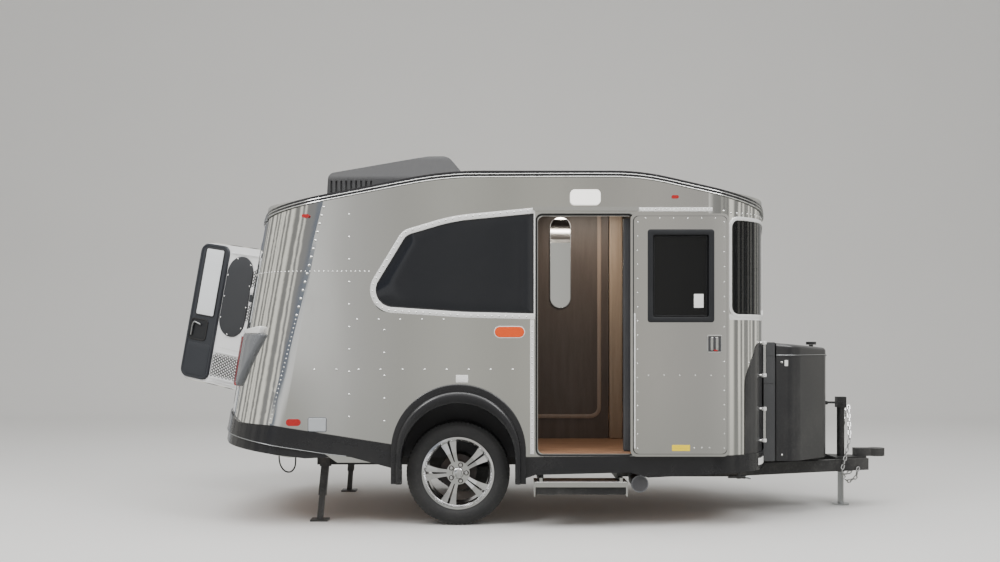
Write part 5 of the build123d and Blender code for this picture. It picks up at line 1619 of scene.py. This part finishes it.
@dataclass(frozen=True)
class TongueGear:
    """Small fittings on the tongue box, the jack, the front corner and the underside."""

    box_corners: tuple = ((1.834, -0.550), (1.975, -0.550), (2.280, -0.250), (2.280, 0.250), (1.975, 0.550),
                          (1.834, 0.550))
    box_radii: tuple = (0.002, 0.150, 0.110, 0.110, 0.150, 0.002)
    bracket_z: tuple = (0.552, 0.770, 1.001, 1.225)
    drain_parts: tuple = (
        ("stub", (1.487, 1.487, 1.487), (0.440, 0.380, 0.312), 16 * MM, Slot.STEEL_BLACK),
        ("barrel", (1.415, 1.480, 1.530), (0.326, 0.326, 0.322), 12 * MM, Slot.STEEL_BLACK),
        ("handle", (1.530, 1.548, 1.566), (0.322, 0.320, 0.316), 10 * MM, Slot.STEEL_GREY))
    drain_y: float = -0.93
    box_side: float = -0.550
    box_label: tuple = ((1.893, 1.917), (1.060, 1.102))
    fasteners: tuple = ((1.874, 0.431), (1.874, 1.085))
    corner_plate: tuple = ((-0.872, -0.672), (0.384, 0.448))
    edge_line_z: float = 1.137

    def lid_bead(self) -> None:
        """Bright bead round the lid's lower edge, from its rear corner to the other."""
        outline = rounded(self.box_corners, self.box_radii, 8)[4:-4]
        path = np.column_stack([outline, np.full(len(outline), self.edge_line_z)])
        tube("lid_bead", path, 2.4 * MM, Slot.STEEL_GREY, 8, body="tongue_box_lid")

    def box_details(self) -> None:
        """Blank label and round fasteners on the box's side, and the front plate with its surround."""
        side = Place(self.box_side)
        plate("box_label", rectangle(*self.box_label, 2 * MM, 2), side, 0.8 * MM, 0.3 * MM, Slot.LABEL)
        rivets = Rivets(radius=8 * MM, height=4 * MM, sides=14)
        rivets.flat(np.array(self.fasteners), self.box_side)
        rivets.build("box_fasteners", slot=Slot.BRIGHT)
        skin = EndSkin(End.FRONT)
        outline = spaced(rectangle(*self.corner_plate, 6 * MM, 3), 0.02)
        plate("corner_plate_surround", outline, skin, 0.0165, 2 * MM, Slot.RUBBER, base=0.013)
        plate("corner_plate", inset(outline, 9 * MM), skin, 0.0180, 0.6 * MM, Slot.LABEL, base=0.015)

    def bar_brackets(self) -> None:
        """Bright brackets round the foot and head of each guard bar."""
        _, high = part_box("guard_bars")
        x, y = high.x - 0.012, -high.y + 0.012
        shape = np.array([(0.004, -0.012), (0.0165, -0.012), (0.0185, -0.006), (0.0185, 0.006),
                          (0.0165, 0.012), (0.004, 0.012)])
        angle = turns(20)[:, None]
        faces = grid_faces(20, len(shape), True, True)
        for k, z in enumerate(self.bracket_z):
            parts = x + np.cos(angle) * shape[:, 0], y + np.sin(angle) * shape[:, 0], z + shape[:, 1]
            points = np.stack(np.broadcast_arrays(*parts), axis=-1)
            mesh_piece(f"guard_bracket_{k + 1}", points, faces, Slot.PALE_TRIM, both=True)

    def drain(self) -> None:
        """Drain valve under the front kerb corner: a stub, a cross barrel and a bright handle."""
        for name, x, z, radius, slot in self.drain_parts:
            path = np.column_stack([x, np.full(3, self.drain_y), z])
            tube(f"drain_{name}", path, radius, slot, 14)

    def pipe_rim(self) -> None:
        """Thin pale rim on the waste pipe's cap."""
        centre = (0.809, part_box("waste_pipe")[0].y, 0.288)
        profile = np.array([(0.0510, -0.004), (0.0560, -0.004), (0.0560, 0.0015), (0.0510, 0.0015)])
        lathe("waste_cap_rim", profile, centre, Slot.LAMP_GREY, -1, 48)

    def crank_grip(self) -> None:
        """Black grip on the jack's crank."""
        profile = np.array([(0.004, 0.068), (0.0125, 0.068), (0.0140, 0.075), (0.0125, 0.095),
                            (0.0140, 0.112), (0.0110, 0.118), (0.004, 0.118)])
        lathe("crank_grip", profile, (2.319, 0, 0.775), Slot.RUBBER, -1, 24)

    def build(self) -> None:
        """Builds the fittings."""
        self.lid_bead()
        self.box_details()
        self.bar_brackets()
        self.drain()
        self.pipe_rim()
        self.crank_grip()


# Soft pieces


@dataclass(frozen=True)
class Cushion:
    """One bench cushion, puffed by a short cloth simulation."""

    name: str
    low: Point
    high: Point
    start_inset: float = 0.006
    voxel: float = 0.011
    cap: float = 0.007
    pressure: float = 3.5
    rings: int = 41
    spokes: int = 80
    frames: int = 20

    def blank(self) -> tuple[np.ndarray, list]:
        """Rounded block: the sign and power of two angles' cosines and sines, stretched to the box.

        A power well under one squares the round form.
        """
        low = np.array(self.low) + self.start_inset
        high = np.array(self.high) - self.start_inset
        centre, half = (low + high) / 2, (high - low) / 2
        turn = np.linspace(-math.pi / 2, math.pi / 2, self.rings)
        spin = turns(self.spokes)

        def power(value: np.ndarray, exponent: float) -> np.ndarray:
            return np.sign(value) * np.abs(value) ** exponent
        x = power(np.cos(turn)[:, None], 0.16) * power(np.cos(spin)[None], 0.12)
        y = power(np.cos(turn)[:, None], 0.16) * power(np.sin(spin)[None], 0.12)
        z = np.broadcast_to(power(np.sin(turn)[:, None], 0.30), x.shape)
        points = (centre + np.stack([x, y, z], axis=-1) * half)[1:-1].reshape(-1, 3)
        return points, grid_faces(self.rings - 2, self.spokes, wrap_columns=True, caps=True)

    def puff(self, piece: bpy.types.Object) -> None:
        """Remeshes the blank, inflates it as cloth for a few frames and caps how far it moved."""
        scene = bpy.context.scene
        remesh = piece.modifiers.new("even", "REMESH")
        remesh.mode = "VOXEL"
        remesh.voxel_size = self.voxel
        self.apply(piece)
        rest = self.vertices(piece)
        cloth = piece.modifiers.new("puff", "CLOTH")
        cloth.settings.use_pressure = True
        cloth.settings.uniform_pressure_force = self.pressure
        cloth.settings.effector_weights.gravity = 0
        cloth.settings.quality = 4
        cloth.point_cache.frame_end = self.frames
        for step in range(1, self.frames + 1):
            scene.frame_set(step)
        self.apply(piece)
        moved = self.vertices(piece) - rest
        length = np.linalg.norm(moved, axis=1, keepdims=True)
        capped = rest + moved * np.minimum(1, self.cap / np.maximum(length, 1e-9))
        capped = np.clip(capped, np.array(self.low) + 0.5 * MM, np.array(self.high) - 0.5 * MM)
        piece.data.vertices.foreach_set("co", capped.ravel())
        scene.frame_set(1)

    @staticmethod
    def vertices(piece: bpy.types.Object) -> np.ndarray:
        """The mesh's vertices as an array."""
        points = np.empty(len(piece.data.vertices) * 3)
        piece.data.vertices.foreach_get("co", points)
        return points.reshape(-1, 3)

    @staticmethod
    def apply(piece: bpy.types.Object) -> None:
        """Puts the modifiers' result into the mesh and removes them."""
        graph = bpy.context.evaluated_depsgraph_get()
        mesh = bpy.data.meshes.new_from_object(piece.evaluated_get(graph))
        piece.modifiers.clear()
        piece.data = mesh

    def piping(self, side: int) -> None:
        """Sewn cord round the cushion's broad face, a rounded rectangle in its two long axes."""
        low, high = np.array(self.low), np.array(self.high)
        thin = int(np.argmin(high - low))
        wide = [axis for axis in range(3) if axis != thin]
        outline = rectangle((low[wide[0]] + 0.014, high[wide[0]] - 0.014),
                            (low[wide[1]] + 0.014, high[wide[1]] - 0.014), 0.03, 6)
        path = np.zeros((len(outline), 3))
        path[:, wide[0]], path[:, wide[1]] = outline[:, 0], outline[:, 1]
        path[:, thin] = high[thin] - 0.012
        path = path * [1, side, 1]
        name = f"{self.name}_piping_{'kerb' if side > 0 else 'street'}"
        tube(name, spaced(path, 0.02), 3.5 * MM, Slot.CLOTH, 8, closed=True, stands_for=("cushions",))

    def build(self) -> None:
        """Builds the cushion on the kerb side and its mirror image on the street side."""
        points, faces = self.blank()
        kerb = mesh_object(f"{self.name}_kerb", points, faces, Slot.CLOTH.material(), split=180)
        self.puff(kerb)
        points = self.vertices(kerb) * [1, -1, 1]
        faces = [list(face.vertices)[::-1] for face in kerb.data.polygons]
        street = mesh_object(f"{self.name}_street", points, faces, Slot.CLOTH.material(), split=180)
        kerb.data.materials.clear()
        kerb.data.materials.append(Slot.CLOTH.material())
        kerb.data.shade_smooth()
        for piece in (kerb, street):
            smooth = piece.modifiers.new("fine", "SUBSURF")
            smooth.levels = smooth.render_levels = 1
            settle(piece, "caravan", Slot.CLOTH, "cushions")
        for side in (1, -1):
            self.piping(side)


@dataclass(frozen=True)
class Cushions:
    """Seat and back cushions of both benches."""

    seats: tuple = ((-1.556, -0.755), (-0.745, 0.056))
    backs: tuple = ((-1.500, -0.755), (-0.745, 0.056))
    seat_y: Pair = (-0.980, -0.590)
    back_y: Pair = (-0.985, -0.885)
    seat_z: Pair = (0.880, 0.980)
    back_z: Pair = (0.981, 1.360)

    def build(self) -> None:
        """Builds the four kerb-side cushions with their twins."""
        for kind, spans, y, z in (("seat", self.seats, self.seat_y, self.seat_z),
                                  ("back", self.backs, self.back_y, self.back_z)):
            for k, (low, high) in enumerate(spans):
                Cushion(f"{kind}_cushion_{k + 1}", (low, y[0], z[0]), (high, y[1], z[1])).build()


@dataclass(frozen=True)
class TetherCord:
    """Black cord that hangs in a loop between two clips under the rear kerb corner."""

    diameter: float = 0.010
    length: float = 0.276
    route: tuple = ((-1.612, -0.900, 0.468), (-1.612, -0.900, 0.432), (-1.600, -0.904, 0.390),
                    (-1.568, -0.908, 0.354), (-1.528, -0.908, 0.352), (-1.504, -0.904, 0.384),
                    (-1.500, -0.900, 0.422), (-1.500, -0.900, 0.458))

    def build(self) -> None:
        """Builds the cord as one smooth spline with the route as its control points."""
        curve = bpy.data.curves.new("tether_line", "CURVE")
        curve.dimensions = "3D"
        curve.bevel_depth = self.diameter / 2
        curve.bevel_resolution = 4
        curve.resolution_u = 8
        spline = curve.splines.new("NURBS")
        spline.points.add(len(self.route) - 1)
        spline.points.foreach_set("co", np.column_stack([self.route, np.ones(len(self.route))]).ravel())
        spline.order_u = 3
        spline.use_endpoint_u = True
        curve.materials.append(Slot.CORD.material())
        piece = linked("tether_line", curve)
        settle(piece, "caravan", Slot.CORD, "tether_cord")


# Studio


@dataclass(frozen=True)
class Studio:
    """Pale floor and backdrop, soft lamps, and the camera of the reference view."""

    eye: Point = (-0.120, -8.33, 1.244)
    lens: float = 39.6
    sensor: float = 36.0
    horizon: float = 0.059
    floor_colour: Colour = (0.78, 0.77, 0.75)
    surroundings: tuple = (
        (-1.57, (0.26, 0.26, 0.25)), (-0.80, (0.28, 0.28, 0.28)), (-0.62, (0.20, 0.22, 0.26)),
        (-0.50, (0.17, 0.20, 0.25)), (-0.44, (0.30, 0.32, 0.35)), (-0.42, (0.78, 0.79, 0.80)),
        (-0.24, (0.84, 0.84, 0.83)), (-0.165, (0.74, 0.74, 0.72)), (-0.135, (0.52, 0.515, 0.50)),
        (-0.09, (0.44, 0.435, 0.41)), (-0.04, (0.52, 0.515, 0.48)), (0.00, (0.44, 0.435, 0.40)),
        (0.05, (0.52, 0.51, 0.47)), (0.09, (0.42, 0.41, 0.38)), (0.14, (0.50, 0.485, 0.455)),
        (0.19, (0.40, 0.39, 0.375)), (0.22, (0.62, 0.61, 0.58)), (0.26, (0.85, 0.84, 0.80)),
        (0.32, (0.30, 0.30, 0.29)), (0.55, (0.26, 0.26, 0.25)), (1.57, (0.26, 0.26, 0.25)))

    def camera(self) -> None:
        """Level camera looking along +Y, shifted up so that its horizon lies below the middle."""
        data = bpy.data.cameras.new("view_camera")
        data.lens = self.lens
        data.sensor_width = self.sensor
        data.shift_y = self.horizon
        camera = linked("view_camera", data)
        camera.location = self.eye
        camera.rotation_euler = (math.pi / 2, 0, 0)
        bpy.context.scene.camera = camera

    def lamp(self, name: str, place: Point, aim: Point, size: Pair, power: float,
             colour: Colour = (1, 1, 1)) -> None:
        """Soft rectangular lamp that faces a point."""
        data = bpy.data.lights.new(name, "AREA")
        data.shape = "RECTANGLE"
        data.size, data.size_y = size
        data.energy = power
        data.color = colour
        lamp = linked(name, data)
        lamp.location = place
        heading = Vector(aim) - Vector(place)
        lamp.rotation_euler = heading.to_track_quat("-Z", "Y").to_euler()

    def floor(self) -> None:
        """Level floor that curves up into a backdrop, a quarter circle between two flats."""
        reach, rise, bend = 26.0, 9.0, 3.0
        near, far = -20, 9
        turn = np.linspace(0, math.pi / 2, 16)
        y = np.concatenate([[near], far + bend * np.sin(turn), [far + bend]])
        z = np.concatenate([[0], bend * (1 - np.cos(turn)), [rise]])
        x = np.linspace(-reach, reach, 2)
        points = np.stack(np.broadcast_arrays(x[:, None], y, z), axis=-1)
        shader = Shader("studio_floor")
        cloud = shader.noise(0.6, (1, 1, 1), 4)
        pale = tuple(channel * 1.04 for channel in self.floor_colour)
        finish = shader.finish(Base_Color=shader.mix(cloud, self.floor_colour, pale), Roughness=0.6,
                               Specular_IOR_Level=0.3)
        glossy = shader.value("ShaderNodeLightPath", output="Is Glossy Ray")
        clear = shader.node("ShaderNodeBsdfTransparent")
        mixed = shader.node("ShaderNodeMixShader", {}, {0: glossy, 1: shader.surface.outputs[0],
                                                        2: clear.outputs[0]})
        shader.link(mixed.outputs[0], shader.output.inputs[0])
        mesh_object("studio_floor", points, grid_faces(2, len(y)), finish, closed=False)

    def sky(self) -> None:
        """World light: plain and pale for lighting, with upright bands in what metal reflects.

        The bands are a sine of the azimuth whose phase is itself bent by a slower sine. They fade
        out near straight ahead, where a ramp over the azimuth keeps flat walls calm.
        """
        world = bpy.data.worlds.new("studio_light")
        graph = Graph(world)
        source = graph.value("ShaderNodeTexCoord", output="Generated")
        x, y, z = (graph.value("ShaderNodeSeparateXYZ", {}, {0: source}, axis) for axis in "XYZ")
        azimuth = x.math("ARCTAN2", y.math("ABSOLUTE") + 1e-4)
        stops = [((angle + 1.6) / 3.2, colour) for angle, colour in self.surroundings]
        skewed = azimuth - z * 2.8 * azimuth.over(-0.15, -0.22)
        calm = graph.value("ShaderNodeValToRGB", {"stops": stops}, {0: (skewed + 1.6) * (1 / 3.2)})
        wander = (azimuth * 9.0).math("SINE") * 1.6
        wave = (azimuth * 27.0 + wander).math("SINE") * 0.5 + 0.5
        band = wave.over(0.25, 0.85) * azimuth.math("ABSOLUTE").over(0.56, 0.68)
        striped = graph.mix(band * 0.9, calm, (1.05, 1.03, 0.94))
        floor_tone = graph.mix(z.over(-0.02, -0.12) * 0.45, striped, (0.33, 0.34, 0.31))
        colour = graph.mix(z.over(0.22, 0.80), floor_tone, (1.5, 1.5, 1.46))
        paths = graph.value("ShaderNodeLightPath", output="Is Glossy Ray")
        glossy = graph.node("ShaderNodeBackground", {}, {0: colour, 1: 1.0})
        plain = graph.node("ShaderNodeBackground", {}, {0: (0.86, 0.86, 0.85, 1), 1: 0.70})
        mixed = graph.node("ShaderNodeMixShader", {}, {0: paths, 1: plain.outputs[0], 2: glossy.outputs[0]})
        graph.node("ShaderNodeOutputWorld", {}, {0: mixed.outputs[0]})
        bpy.context.scene.world = world

    def build(self) -> None:
        """Builds the studio."""
        self.camera()
        self.floor()
        self.sky()
        self.lamp("overhead_lamp", (0, -1.5, 6.5), (0, 0, 1), (8, 5), 450)
        self.lamp("left_lamp", (-5.5, -5.5, 7.2), (-1, 0, 1.2), (3, 3), 310)
        self.lamp("right_lamp", (5.5, -6, 7.2), (1, 0, 1.2), (3, 3), 270)
        self.lamp("cabin_lamp", (0.55, -0.45, 2.22), (0.55, -0.45, 0), (0.5, 0.25), 7, (1, 0.9, 0.78))


def dress_nodes() -> None:
    """Gives every node of the construction the finish of its slot."""
    finishes = {}
    for slot in Slot:
        finishes.setdefault(slot.slot, slot)
    for row in frame["record"]["subparts"]:
        for item in frame["nodes"][row["node"]].material_slots:
            item.material = finishes[row["material_slot"]].material()


def main() -> None:
    """Builds the model in order and reports each piece."""
    logging.basicConfig(level=logging.INFO, format="%(message)s")
    Studio().build()
    TetherCord().build()
    dress_nodes()
    Skin().build()
    Windows().build()
    Doorway().build()
    EntryDoor().build()
    Hatch().build()
    TailLamps().build()
    WheelArches().build()
    for side in ("kerb", "street"):
        Wheel(side).build()
    StepTread().build()
    TongueGear().build()
    Cushions().build()


if __name__ == "__main__":
    main()
